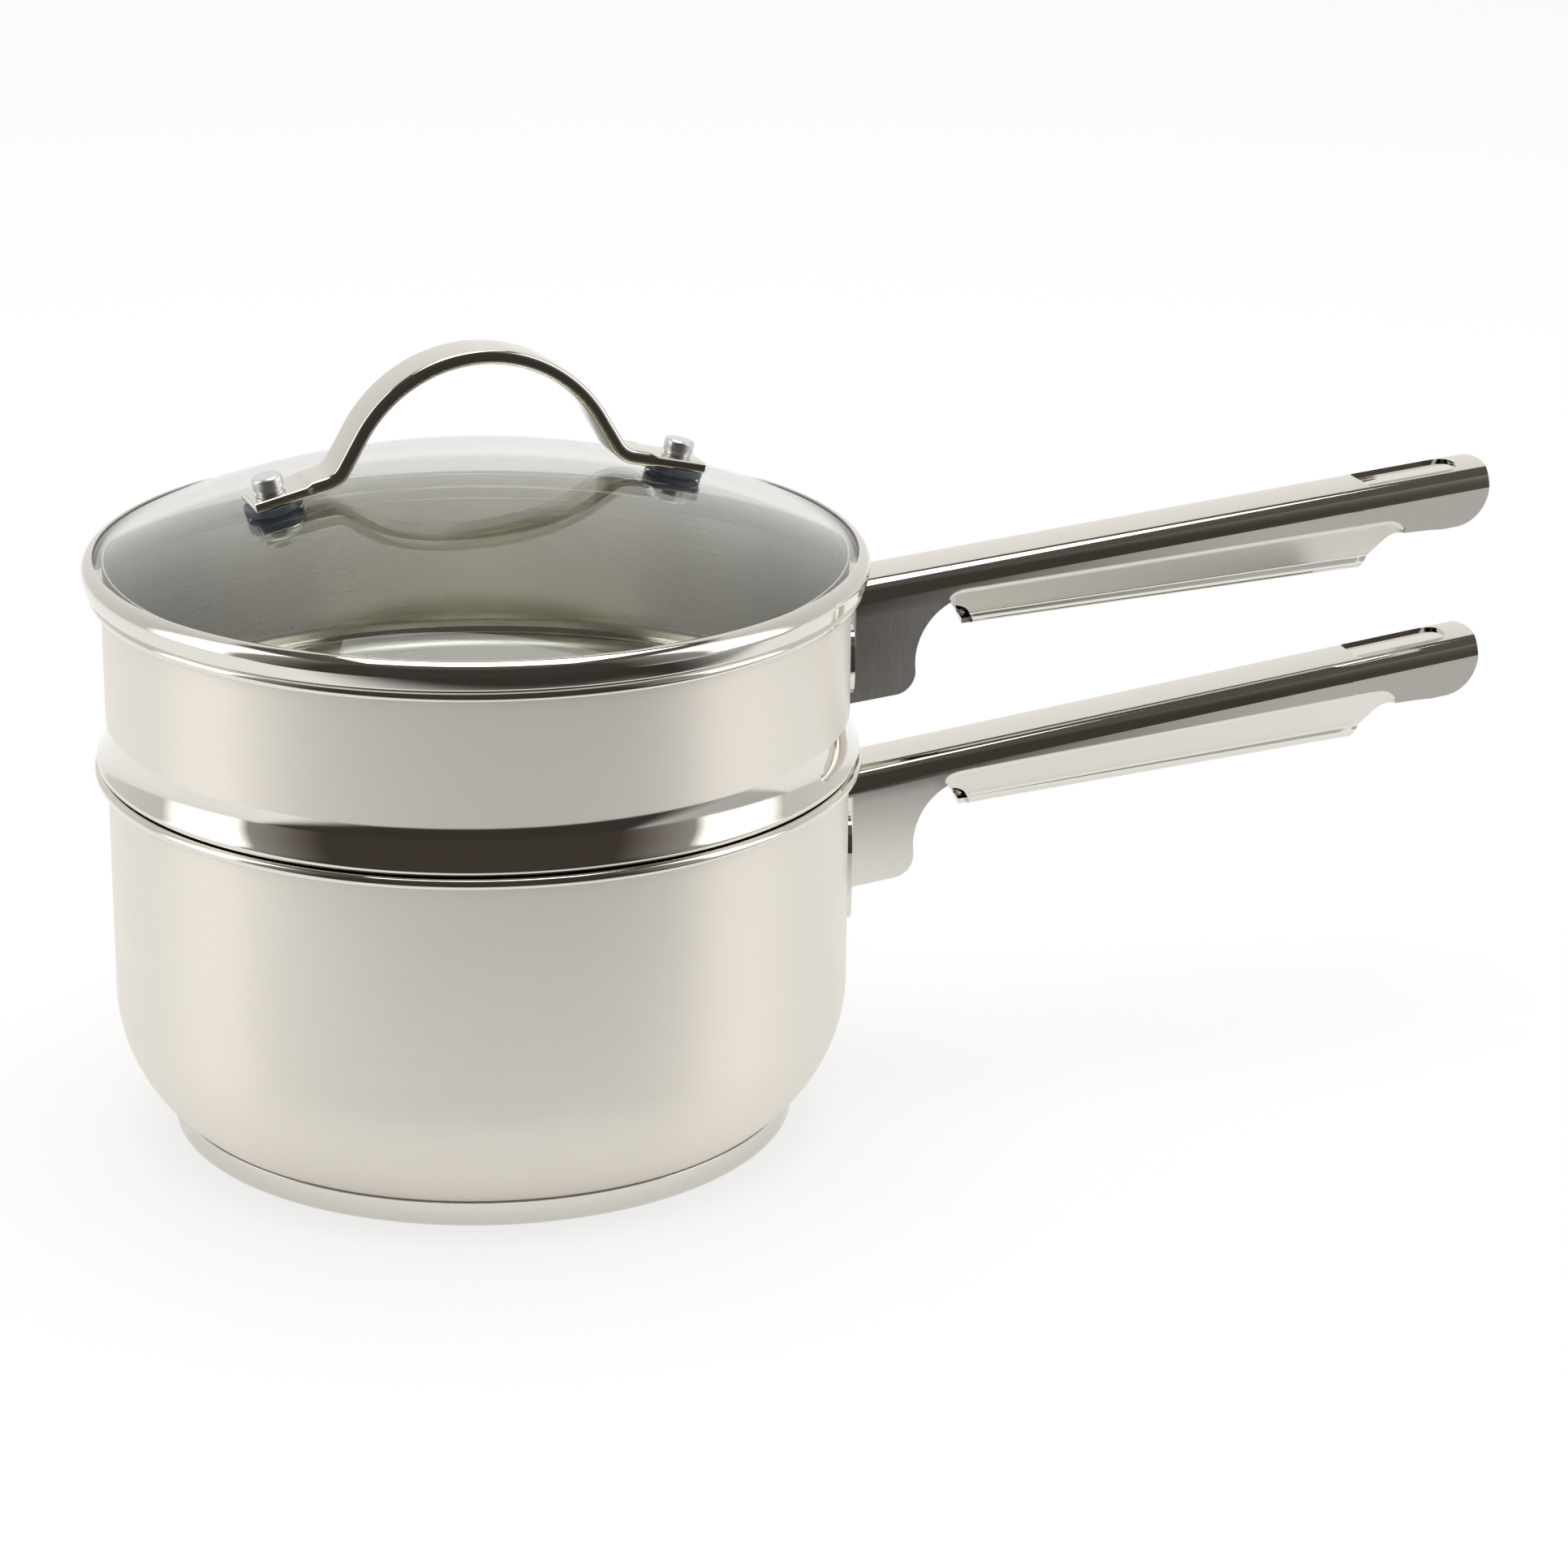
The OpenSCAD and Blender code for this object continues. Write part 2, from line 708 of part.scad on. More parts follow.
// One leg of the strap with its bend and its flattened foot
module strap_leg() {
    foot_start = foot_mid - foot_run * foot_dir;
    strap_run(leg_top, arch_turn, leg_run - knee_cut);
    swept(knee_c, 270 - arch_turn, arch_turn - rivet_turn, foot_bend_r)
        strap_section(0);
    strap_run(foot_start, rivet_turn, foot_run - pad_reach - strap_lap);
    difference() {
        run_out(foot_mid - pad_reach * foot_dir, rivet_turn, pad_reach + foot_reach)
            rounded(foot_t, foot_w, pad_edge_r);
        at_rivet(1)
            cylinder(r = shank_r + hole_gap, h = 2 * foot_top);
    }
}

module lid_strap() {
    color("lightgray") {
        swept(strap_c, 90 - arch_turn, 2 * arch_turn, arch_r)
            strap_section(0);
        for (side = [0, 1])
            mirror([side, 0, 0])
                strap_leg();
    }
}

// Aluminium rivet, with its flat head inside the lid and its closed head on top
module rivet(side) {
    base = under_z - washer_t - flat_head_h;
    collar_r = (shank_d + head_d) / 4;
    crest = foot_top + collar_h + head_h;
    flat_r = flat_head_d / 2;
    head_r = head_d / 2;
    color("whitesmoke")
    at_rivet(side)
        rotate_extrude()
            polygon([[0, base],
                     [flat_r - head_bevel, base],
                     [flat_r, base + head_bevel],
                     [flat_r, base + flat_head_h],
                     [shank_r, base + flat_head_h],
                     [shank_r, foot_top],
                     [collar_r, foot_top],
                     [collar_r, foot_top + collar_h],
                     [head_r, foot_top + collar_h],
                     [head_r, crest - head_bevel],
                     [head_r - head_bevel, crest],
                     [0, crest]]);
}

// Top gasket, hollowed to sit on the dome, with a sleeve through the glass
module upper_gasket(side) {
    color("slategray")
    difference() {
        union() {
            difference() {
                at_rivet(side)
                    translate([0, 0, -1])
                        cylinder(d = gasket_d, h = 1 + gasket_t);
                translate([0, 0, glass_z])
                    sphere(glass_r, $fn = 360);
            }
            at_rivet(side)
                translate([0, 0, -glass_t])
                    cylinder(r = sleeve_r, h = glass_t + gasket_t);
        }
        at_rivet(side)
            translate([0, 0, -2 * glass_t])
                cylinder(r = shank_r + hole_gap, h = 2 * glass_t + 2 * gasket_t);
    }
}

// Lower gasket, crowned to sit in the hollow of the dome
module lower_gasket(side) {
    color("slategray")
    intersection() {
        at_rivet(side)
            difference() {
                translate([0, 0, under_z])
                    cylinder(d = gasket_d, h = 1 + gasket_t);
                translate([0, 0, under_z - 1])
                    cylinder(r = shank_r + hole_gap, h = 3 + gasket_t);
            }
        translate([0, 0, glass_z])
            sphere(glass_r - glass_t, $fn = 360);
    }
}

module washer(side) {
    color("silver")
    at_rivet(side)
        translate([0, 0, under_z - washer_t])
            difference() {
                cylinder(d = washer_d, h = washer_t);
                translate([0, 0, -1])
                    cylinder(r = shank_r + hole_gap, h = 2 + washer_t);
            }
}

module rivet_left() {
    rivet(-1);
}

module rivet_right() {
    rivet(1);
}

module upper_gasket_left() {
    upper_gasket(-1);
}

module upper_gasket_right() {
    upper_gasket(1);
}

module lower_gasket_left() {
    lower_gasket(-1);
}

module lower_gasket_right() {
    lower_gasket(1);
}

module washer_left() {
    washer(-1);
}

module washer_right() {
    washer(1);
}

saucepan_shell();
base_core();
base_cap();
saucepan_handle();
insert_shell();
insert_handle();
lid_glass();
lid_band();
lid_strap();
rivet_left();
rivet_right();
upper_gasket_left();
upper_gasket_right();
lower_gasket_left();
lower_gasket_right();
washer_left();
washer_right();
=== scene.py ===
"""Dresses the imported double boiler: steel, glass, silicone and a plain studio."""

import math

import bmesh
import bpy
import numpy as np
from bpy.props import FloatProperty, FloatVectorProperty, IntProperty, PointerProperty
from mathutils import Matrix, Vector


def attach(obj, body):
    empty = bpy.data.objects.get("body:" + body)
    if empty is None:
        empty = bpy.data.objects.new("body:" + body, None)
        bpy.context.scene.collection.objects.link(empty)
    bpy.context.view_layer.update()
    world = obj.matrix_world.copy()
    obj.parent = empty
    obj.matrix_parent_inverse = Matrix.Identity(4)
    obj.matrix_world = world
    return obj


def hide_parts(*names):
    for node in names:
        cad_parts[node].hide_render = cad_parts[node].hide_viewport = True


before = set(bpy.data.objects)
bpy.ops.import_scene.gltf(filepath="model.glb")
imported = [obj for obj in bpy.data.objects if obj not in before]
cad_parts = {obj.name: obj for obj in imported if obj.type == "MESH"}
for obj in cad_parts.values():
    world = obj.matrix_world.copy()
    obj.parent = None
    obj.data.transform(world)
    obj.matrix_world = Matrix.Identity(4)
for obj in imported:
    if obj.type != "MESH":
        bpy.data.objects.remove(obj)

bl_info = {
    "name": "Double boiler",
    "version": (1, 0, 0),
    "blender": (4, 5, 0),
    "location": "View3D > Sidebar > Double boiler",
    "description": "Dresses a steel double boiler with a glass lid and lights it",
    "category": "Object",
}

MM = 0.001


# Settings

class PanSizes(bpy.types.PropertyGroup):
    """Sizes that the two pans share or hand on to the lid."""

    bore_radius: FloatProperty(
        name="Bore radius", description="Inside radius of both pans",
        default=80 * MM, unit="LENGTH")
    wall: FloatProperty(
        name="Wall", description="Thickness of the pan walls",
        default=0.8 * MM, unit="LENGTH")
    saucepan_height: FloatProperty(
        name="Saucepan height", description="Height of the saucepan's rim",
        default=83.5 * MM, unit="LENGTH")
    insert_height: FloatProperty(
        name="Insert height", description="Height of the insert's wall above its ledge",
        default=39.6 * MM, unit="LENGTH")
    bead_height: FloatProperty(
        name="Bead height", description="Height of the rolled rims",
        default=2.6 * MM, unit="LENGTH")
    bead_width: FloatProperty(
        name="Bead width", description="Width of the rolled rims with their wall",
        default=3.6 * MM, unit="LENGTH")
    steps: IntProperty(
        name="Steps round", description="Faces round each turned piece",
        default=256, min=48, max=512)


class FinishSettings(bpy.types.PropertyGroup):
    """Colours and gloss of the finishes."""

    steel: FloatVectorProperty(
        name="Steel", description="Colour of the stainless steel",
        default=(0.74, 0.715, 0.66), subtype="COLOR", min=0, max=1)
    brushed: FloatVectorProperty(
        name="Brushed steel", description="Colour of the brushed pan walls",
        default=(0.83, 0.785, 0.71), subtype="COLOR", min=0, max=1)
    # Darker colour painted on the pans' inside as shade
    inside_shade: FloatVectorProperty(
        name="Inside", description="Colour of the pans' inside",
        default=(0.64, 0.60, 0.51), subtype="COLOR", min=0, max=1)
    satin: FloatProperty(
        name="Satin roughness", description="Roughness of the brushed pan walls",
        default=0.42, subtype="FACTOR", min=0, max=1)
    polish: FloatProperty(
        name="Polish roughness", description="Roughness of the polished steel",
        default=0.06, subtype="FACTOR", min=0, max=1)
    glass: FloatVectorProperty(
        name="Glass", description="Tint of the lid's glass",
        default=(0.93, 0.965, 0.94), subtype="COLOR", min=0, max=1)
    silicone: FloatVectorProperty(
        name="Silicone", description="Colour of the gaskets",
        default=(0.045, 0.055, 0.075), subtype="COLOR", min=0, max=1)


class StageSettings(bpy.types.PropertyGroup):
    """Floor, light and lens."""

    lens: FloatProperty(
        name="Lens", description="Focal length on a 36 mm wide sensor, in millimetres",
        default=104.56, min=20, max=300)
    floor_radius: FloatProperty(
        name="Floor radius", description="Radius of the pale floor",
        default=1.6, unit="LENGTH")


def settings():
    return bpy.context.scene.double_boiler


# Shapes

def arc(centre, radius, start, end, steps):
    """Points on a circle: centre + radius * (cos a, sin a), a in even steps of degrees."""
    a = np.radians(np.linspace(start, end, steps + 1))
    return np.column_stack([centre[0] + radius * np.cos(a),
                            centre[1] + radius * np.sin(a)])


def grid_faces(rows, columns, close_rows, close_columns):
    """Quads of a grid of rows x columns points, joined end to end where asked."""
    i = np.arange(rows if close_rows else rows - 1)
    j = np.arange(columns if close_columns else columns - 1)
    i, j = (x.ravel() for x in np.meshgrid(i, j, indexing="ij"))
    i2 = (i + 1) % rows
    j2 = (j + 1) % columns
    return np.column_stack([i * columns + j, i * columns + j2,
                            i2 * columns + j2, i2 * columns + j])


def make_piece(name, points, faces, body, slot, replaced):
    """Puts points in metres and quads into a mesh object that rides on a body."""
    mesh = bpy.data.meshes.new(name)
    mesh.from_pydata(points.tolist(), [], [list(face) for face in faces])
    mesh.validate()
    obj = bpy.data.objects.new(name, mesh)
    bpy.context.scene.collection.objects.link(obj)
    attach(obj, body)
    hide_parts(*replaced)
    return obj


def lathe(profile, steps):
    """A closed outline (r, z) in millimetres turned about Z.

    Point (i, j) is (r_i cos t_j, r_i sin t_j, z_i). An outline that starts and ends on the
    axis gets a small flat disc at each end, so that all its faces stay quads.
    """
    ends = profile[:, 0] < 1e-6
    profile = profile.copy()
    profile[ends, 0] = 0.3
    t = np.linspace(0, 2 * np.pi, steps, endpoint=False)
    r, z = profile[:, 0:1], profile[:, 1:2]
    points = np.stack([r * np.cos(t), r * np.sin(t), z + 0 * t], axis=-1).reshape(-1, 3)
    faces = grid_faces(len(profile), steps, not ends.any(), True).tolist()
    if ends.any():
        faces += [list(range(steps)), list(range(len(points) - steps, len(points)))[::-1]]
    return points * MM, faces


def soften(path, radius, steps=3, turn=25):
    """Rounds the sharp corners of a closed outline with small parabolas.

    A corner P becomes (1-t)^2 A + 2t(1-t) P + t^2 B, where A and B lie a radius away from
    P on its two edges, or a third of the edge where it is short. Gentle turns stay.
    """
    back = np.roll(path, 1, axis=0) - path
    ahead = np.roll(path, -1, axis=0) - path
    back_len = np.linalg.norm(back, axis=1, keepdims=True)
    ahead_len = np.linalg.norm(ahead, axis=1, keepdims=True)
    back, ahead = back / back_len, ahead / ahead_len
    sharp = (back * ahead).sum(axis=1, keepdims=True) > -np.cos(np.radians(turn))
    sharp = sharp & (path[:, 0:1] > 1e-6)
    reach = np.minimum(radius, np.minimum(back_len, ahead_len) / 3) * sharp
    a, b = path + reach * back, path + reach * ahead
    t = np.linspace(0, 1, steps + 1)[None, :, None]
    a, b, corner = a[:, None], b[:, None], path[:, None]
    points = (1 - t) ** 2 * a + 2 * t * (1 - t) * corner + t ** 2 * b
    points = points.reshape(-1, 2)
    apart = np.linalg.norm(points - np.roll(points, 1, axis=0), axis=1) > 1e-7
    return points[apart]


def tilted(points, centre_z, turn, radius):
    """Stands points, made about the origin, on a dome: moved up by radius, turned about Y."""
    t = np.radians(turn)
    x, y, z = points[:, 0], points[:, 1], points[:, 2] + radius
    return np.column_stack([x * np.cos(t) + z * np.sin(t), y,
                            centre_z - x * np.sin(t) + z * np.cos(t)])


class Pan:
    """The sizes of part.scad that these shapes share, in millimetres."""

    def __init__(self):
        sizes = settings().pans
        self.steps = sizes.steps
        self.wall = sizes.wall / MM
        self.bore_r = sizes.bore_radius / MM
        self.wall_r = self.bore_r + self.wall
        self.bead_h = sizes.bead_height / MM
        self.bead_w = sizes.bead_width / MM
        self.bead_r = self.bore_r + self.bead_w
        self.top = sizes.saucepan_height / MM
        self.seat = self.top + 0.3
        self.rim = self.seat + sizes.insert_height / MM
        self.floor = 4.0
        self.flare_h = 9.8
        self.belly_r, self.curve_r, self.belly_turn = 33.0, 10.0, 50.0
        rise = (self.belly_r - self.curve_r) * math.sin(math.radians(self.belly_turn))
        self.belly_c = (self.wall_r - self.belly_r, self.floor + self.curve_r + rise)
        self.curve_c = (self.belly_c[0] + (self.belly_r - self.curve_r)
                        * math.cos(math.radians(self.belly_turn)), self.floor + self.curve_r)
        self.cap_r = (self.belly_c[0] + self.belly_r
                      * math.cos(math.radians(self.belly_turn)) - 0.2)

    def rolled_rim(self, top):
        """The rim from the wall's outside, round the roll and back to the bore."""
        r = self.bead_h / 2
        inner, outer = self.bore_r + r, self.bead_r - r
        low = math.degrees(math.acos((self.wall_r - inner) / r))
        return np.vstack([arc((inner, top - r), r, 360 - low, 270, 3),
                          arc((outer, top - r), r, -90, 90, 24),
                          arc((inner, top - r), r, 90, 180, 12)])


def saucepan_outline(p):
    """Floor, floor curve, belly, wall and rolled rim, then back down the inside."""
    return np.vstack([
        [[0, p.floor]],
        arc(p.curve_c, p.curve_r, -90, -p.belly_turn, 10),
        arc(p.belly_c, p.belly_r, -p.belly_turn, 0, 24)[1:],
        p.rolled_rim(p.top),
        arc(p.belly_c, p.belly_r - p.wall, 0, -p.belly_turn, 24),
        arc(p.curve_c, p.curve_r - p.wall, -p.belly_turn, -90, 10)[1:],
        [[0, p.floor + p.wall]]])


def cap_outline(p):
    """The thin cap under the base: flat with three turned rings, round edge, low side."""
    sheet, edge, gap = 0.6, 1.5, 0.05
    first, count = 14, 3
    run = p.cap_r - sheet - p.curve_c[0]
    top = p.curve_c[1] - math.sqrt(p.curve_r ** 2 - run ** 2) - gap
    step = (p.cap_r - 2 * first) / count
    ring = np.array([[0, 0], [0.15, 0.25], [1.05, 0.25], [1.2, 0]])
    rings = [ring + [first + i * step, 0] for i in range(count)]
    return np.vstack([
        [[0, 0]], *rings,
        arc((p.cap_r - edge, edge), edge, -90, 0, 8),
        [[p.cap_r, top], [p.cap_r - sheet, top]],
        arc((p.cap_r - edge, edge), edge - sheet, 0, -90, 8),
        [[0, sheet]]])


def insert_outline(p):
    """Bowl, ledge, rolled fold, flare, wall and rolled rim, then back down the inside."""
    bowl_gap, bowl_depth, corner = 3.6, 48, 9.0
    ledge_r, fold_r, flare_out = 2.0, 1.2, 2.2
    bowl_r, bowl_z = p.bore_r - bowl_gap, p.seat - bowl_depth
    turn = 2 * math.degrees(math.atan(flare_out / (p.flare_h - fold_r)))
    arm = (p.flare_h - fold_r) / math.sin(math.radians(turn))
    flare_r = arm - fold_r
    flare_c = (p.wall_r + flare_r, p.seat + p.flare_h)
    fold_c = (flare_c[0] - arm * math.cos(math.radians(turn)), p.seat + fold_r)
    bowl_c = (bowl_r - corner, bowl_z + corner)
    ledge_c = (bowl_r + ledge_r, p.seat - ledge_r)
    w = p.wall
    return np.vstack([
        [[0, bowl_z]],
        arc(bowl_c, corner, -90, 0, 14),
        arc(ledge_c, ledge_r, 180, 90, 8),
        arc(fold_c, fold_r, -90, turn, 16),
        arc(flare_c, flare_r, 180 + turn, 180, 14)[1:],
        p.rolled_rim(p.rim),
        arc(flare_c, flare_r + w, 180, 180 + turn, 14),
        arc(fold_c, fold_r - w, turn, -90, 8)[1:],
        arc(ledge_c, ledge_r + w, 90, 180, 8),
        arc(bowl_c, corner - w, 0, -90, 14),
        [[0, bowl_z + w]]])


class Lid:
    """Sizes of the lid, worked out as part.scad does, in millimetres."""

    def __init__(self, p):
        over, height, self.sheet, self.round_r, self.lip_turn = 1.27, 6.0, 0.5, 3.2, 78.0
        rise, self.glass_t, rim_gap, self.gap = 18.1, 4.0, 1.4, 0.05
        rivet_span, self.gasket_t, self.foot_t = 89.4, 1.7, 2.2
        self.band_r = p.bead_r + over
        self.low = p.rim + 0.3
        self.band_c = (self.band_r - self.round_r, self.low + height - self.round_r)
        lip = arc(self.band_c, self.round_r - self.sheet, self.lip_turn, self.lip_turn, 0)[0]
        self.glass_r = (lip[0] ** 2 + rise ** 2) / (2 * rise)
        self.glass_z = lip[1] - self.gap + rise - self.glass_r
        self.glass_edge = self.band_r - self.sheet - rim_gap
        self.guide_r = p.bore_r - 0.6
        self.rivet_turn = math.degrees(math.asin(rivet_span / 2 / self.glass_r))


def band_outline(l):
    """Rolled band, web, guide ring and inner lip as one outline."""
    guide_t, drop, taper = 0.8, 4.5, 0.5
    inner = l.guide_r - guide_t
    under = math.sqrt((l.glass_r - l.glass_t) ** 2 - (inner + l.sheet) ** 2)
    lip_top = l.glass_z + under - l.gap
    foot = l.band_r - taper
    path = np.vstack([
        arc((l.guide_r - guide_t / 2, l.low - drop + guide_t / 2), guide_t / 2, 180, 360, 8),
        [[l.guide_r, l.low]],
        arc((foot - l.sheet, l.low + l.sheet), l.sheet, -90, 0, 6),
        arc(l.band_c, l.round_r, 0, l.lip_turn, 20),
        arc(l.band_c, l.round_r - l.sheet, l.lip_turn, 0, 20),
        [[foot - l.sheet, l.low + l.sheet],
         [inner + l.sheet, l.low + l.sheet],
         [inner + l.sheet, lip_top],
         [inner, lip_top]]])
    return soften(path, 0.15)


def glass_outline(l):
    """A slice of a spherical shell that ends in a ground upright edge."""
    chamfer, lift = 1.2, 0.6
    edge = math.degrees(math.acos(l.glass_edge / l.glass_r))
    inner = math.degrees(math.acos((l.glass_edge - chamfer) / (l.glass_r - l.glass_t)))
    centre = (0, l.glass_z)
    path = np.vstack([
        arc(centre, l.glass_r - l.glass_t, 90, inner, 40),
        [[l.glass_edge, l.low + l.sheet + lift]],
        arc(centre, l.glass_r, edge, 90, 48)])
    path[0, 0] = path[-1, 0] = 0
    return soften(path, 0.3, turn=20)


class Handle:
    """One folded sheet handle, in its own frame: u from the wall, z down from its top.

    The sheet is flattened to (u, s), where s runs along the section from the top's middle:
    crown, shoulder, side, crease, flank, hollow, bead. place() turns (u, s) into a point.
    """

    def __init__(self, p, top, tilt, foot):
        self.top, self.tilt, self.foot = top, math.radians(tilt), foot
        self.wall_r = p.wall_r
        self.half, self.sheet, self.length = 9.0, 1.2, 163.5
        self.crown_r, self.shoulder_r = 30.0, 5.0
        self.shoulder_y = self.half - self.shoulder_r
        arm = self.crown_r - self.shoulder_r
        self.shoulder_z = math.sqrt(arm ** 2 - self.shoulder_y ** 2) - self.crown_r
        self.crown_turn = math.asin(self.shoulder_y / arm)
        self.s_crown = self.crown_r * self.crown_turn
        self.s_side = self.s_crown + self.shoulder_r * (math.pi / 2 - self.crown_turn)
        self.bead_r, self.hollow_r, self.crease_r = 2.2, 0.6, 2.4
        self.neck_depth, self.neck_reach, self.bend = 27.6, 16.6, 3.6
        self.slot = (132.4, 157.2)

    def fold(self, u):
        """Sizes of the section that change with u.

        The crease falls 1.3 degrees and the bead 2.5, so the flank between them widens toward
        the tip. At either end it drops as a quarter of an ellipse, from u = 30 to 26.05 and
        from 135.3 to 139.7, and beyond that nothing is folded: the neck plates and the tip's
        sides are flat. b is the turn at the crease; the flank's line would meet its twin 0.4
        above the bead's foot.
        """
        near, far = np.clip((30.0 - u) / 3.95, 0, 1), np.clip((u - 135.3) / 4.4, 0, 1)
        drop = 2.0 * (1 - np.sqrt(1 - near ** 2)) + 3.2 * (1 - np.sqrt(1 - far ** 2))
        flat = np.clip(26.1 - u, 0, 2) + np.clip(u - 139.6, 0, 2)
        crease = -6.5 - 0.0225 * (u - 32) - drop - 14 * flat
        rise = 10.25 + 0.0212 * (np.clip(u, 27, 140) - 36.6) - drop
        b = np.arctan2(self.half, rise)
        cut = self.crease_r * np.tan(b / 2)
        m, c, r = self.bead_r - 0.4, self.hollow_r, self.bead_r
        t = m * np.cos(b) + np.sqrt((m * np.cos(b)) ** 2 + (r + c) ** 2 - c * c - m * m
                                    - 2 * m * c * np.sin(b))
        lift = np.arctan2(t * np.cos(b) - c * np.sin(b) - m, t * np.sin(b) + c * np.cos(b))
        length = self.half / np.sin(b) - cut - t
        return crease + cut, crease - rise + m, b, length, lift

    def stops(self, side_z, b, length, lift):
        """Where along s the crease, the flank, the hollow and the bead begin."""
        s1 = self.s_side + self.shoulder_z - side_z
        s2 = s1 + self.crease_r * b
        return s1, s2, s2 + length, s2 + length + self.hollow_r * (b + lift)

    def section(self, u, s):
        """(y, z) of the outer face at flat coordinates (u, s), arc by arc."""
        side_z, bead_z, b, length, lift = self.fold(u)
        s1, s2, s3, s4 = self.stops(side_z, b, length, lift)
        a1 = np.clip(s / self.crown_r, 0, self.crown_turn)
        a2 = np.clip((s - self.s_crown) / self.shoulder_r, 0, math.pi / 2 - self.crown_turn)
        a2 = a2 + self.crown_turn
        a4 = np.clip((s - s1) / self.crease_r, 0, b)
        a5 = b - np.clip((s - s3) / self.hollow_r, 0, b + lift)
        a6 = np.clip((s - s4) / self.bead_r, 0, lift + math.pi / 2) - lift
        run = np.clip(s - s2, 0, length)
        crease_y = self.half - self.crease_r
        reach = self.bead_r + self.hollow_r
        zones = [s < self.s_crown, s < self.s_side, s < s1, s < s2, s < s3, s < s4]
        y = np.select(zones, [
            self.crown_r * np.sin(a1),
            self.shoulder_y + self.shoulder_r * np.sin(a2),
            self.half + 0 * s,
            crease_y + self.crease_r * np.cos(a4),
            crease_y + self.crease_r * np.cos(b) - run * np.sin(b),
            reach * np.cos(lift) - self.hollow_r * np.cos(a5)],
            self.bead_r * np.cos(a6))
        z = np.select(zones, [
            self.crown_r * (np.cos(a1) - 1),
            self.shoulder_z + self.shoulder_r * np.cos(a2),
            self.shoulder_z - (s - self.s_side),
            side_z - self.crease_r * np.sin(a4),
            side_z - self.crease_r * np.sin(b) - run * np.cos(b),
            bead_z + reach * np.sin(lift) + self.hollow_r * np.sin(a5)],
            bead_z - self.bead_r * np.sin(a6))
        return y, z

    def flat(self, curve):
        """Lays a side view curve (u, z) on the flat sheet: section() read backwards."""
        u, z = curve[:, 0], curve[:, 1]
        side_z, bead_z, b, length, lift = self.fold(u)
        s1, s2, s3, s4 = self.stops(side_z, b, length, lift)
        low_z = side_z - self.crease_r * np.sin(b)
        a4 = np.arcsin(np.clip((side_z - z) / self.crease_r, 0, 1))
        a6 = np.arcsin(np.clip((bead_z - z) / self.bead_r, -1, 1))
        run = (low_z - z) / np.cos(b)
        s = np.select([z > side_z, z > low_z, run < length], [
            self.s_side + self.shoulder_z - z, s1 + self.crease_r * a4, s2 + run],
            s4 + self.bead_r * (np.clip(a6, -lift, math.pi / 2) + lift) - 0.05)
        return np.column_stack([u, s])

    def tip(self, u, y, z):
        """Pulls the last stretch in: an end rounded in plan and two rounded lower corners."""
        end_r, low_r, low, start = 30.0, 9.0, -12.9, 145.0
        bulge = end_r - np.sqrt(end_r ** 2 - y ** 2)
        down = np.clip(low + low_r - z, 0, low_r)
        corner = low_r - np.sqrt(low_r ** 2 - down ** 2)
        end_share = np.clip((u - self.slot[1]) / (self.length - self.slot[1]), 0, 1)
        corner_share = np.clip((u - start) / (self.length - start), 0, 1)
        return u - bulge * end_share - corner * corner_share

    def place(self, u, s, depth):
        """Point of the sheet at (u, s), that far in from its outer face."""
        def outer(u, s):
            y, z = self.section(u, s)
            return np.stack([self.tip(u, y, z), y, z], axis=-1)
        e = 0.01
        along = outer(u + e, s) - outer(u - e, s)
        down = outer(u, s + e) - outer(u, np.maximum(s - e, 0))
        normal = np.cross(along, down)
        normal /= np.linalg.norm(normal, axis=-1, keepdims=True)
        return outer(u, s) - depth * normal

    def stand(self, points):
        """From the handle's frame to the row's: tilted up and moved to the wall."""
        c, n = math.cos(self.tilt), math.sin(self.tilt)
        x, y, z = points[..., 0], points[..., 1], points[..., 2]
        return np.stack([self.wall_r + x * c - z * n, y, self.top + x * n + z * c], axis=-1)

    def edges(self, centre, radius, start):
        """Upper and lower border of half the flat sheet, as matching (u, s) points.

        The upper one is the top's middle and the slot, the lower one is drawn in side view:
        neck plate, arch, heel, seam under the bead, slanted tube end and the tip's edge. The
        heel ends in an arc with the given centre and radius, from the angle start down to 4.
        Each pair below is a stretch of the upper border and the stretch that faces it.
        """
        deep, reach, corner = self.neck_depth, self.neck_reach, 5.0
        (x0, x1), w = self.slot, 5.4
        turn = math.asin((w - self.shoulder_y) / self.shoulder_r) - self.crown_turn
        s_w = self.s_crown + self.shoulder_r * turn

        def line(a, b, n):
            return np.linspace(a, b, n + 1)

        def rim(u0, u1, n):
            u = np.linspace(u0, u1, n + 1)
            return np.column_stack([u, np.maximum(-12.08 - 0.062 * (u - 139.98), -12.88)])

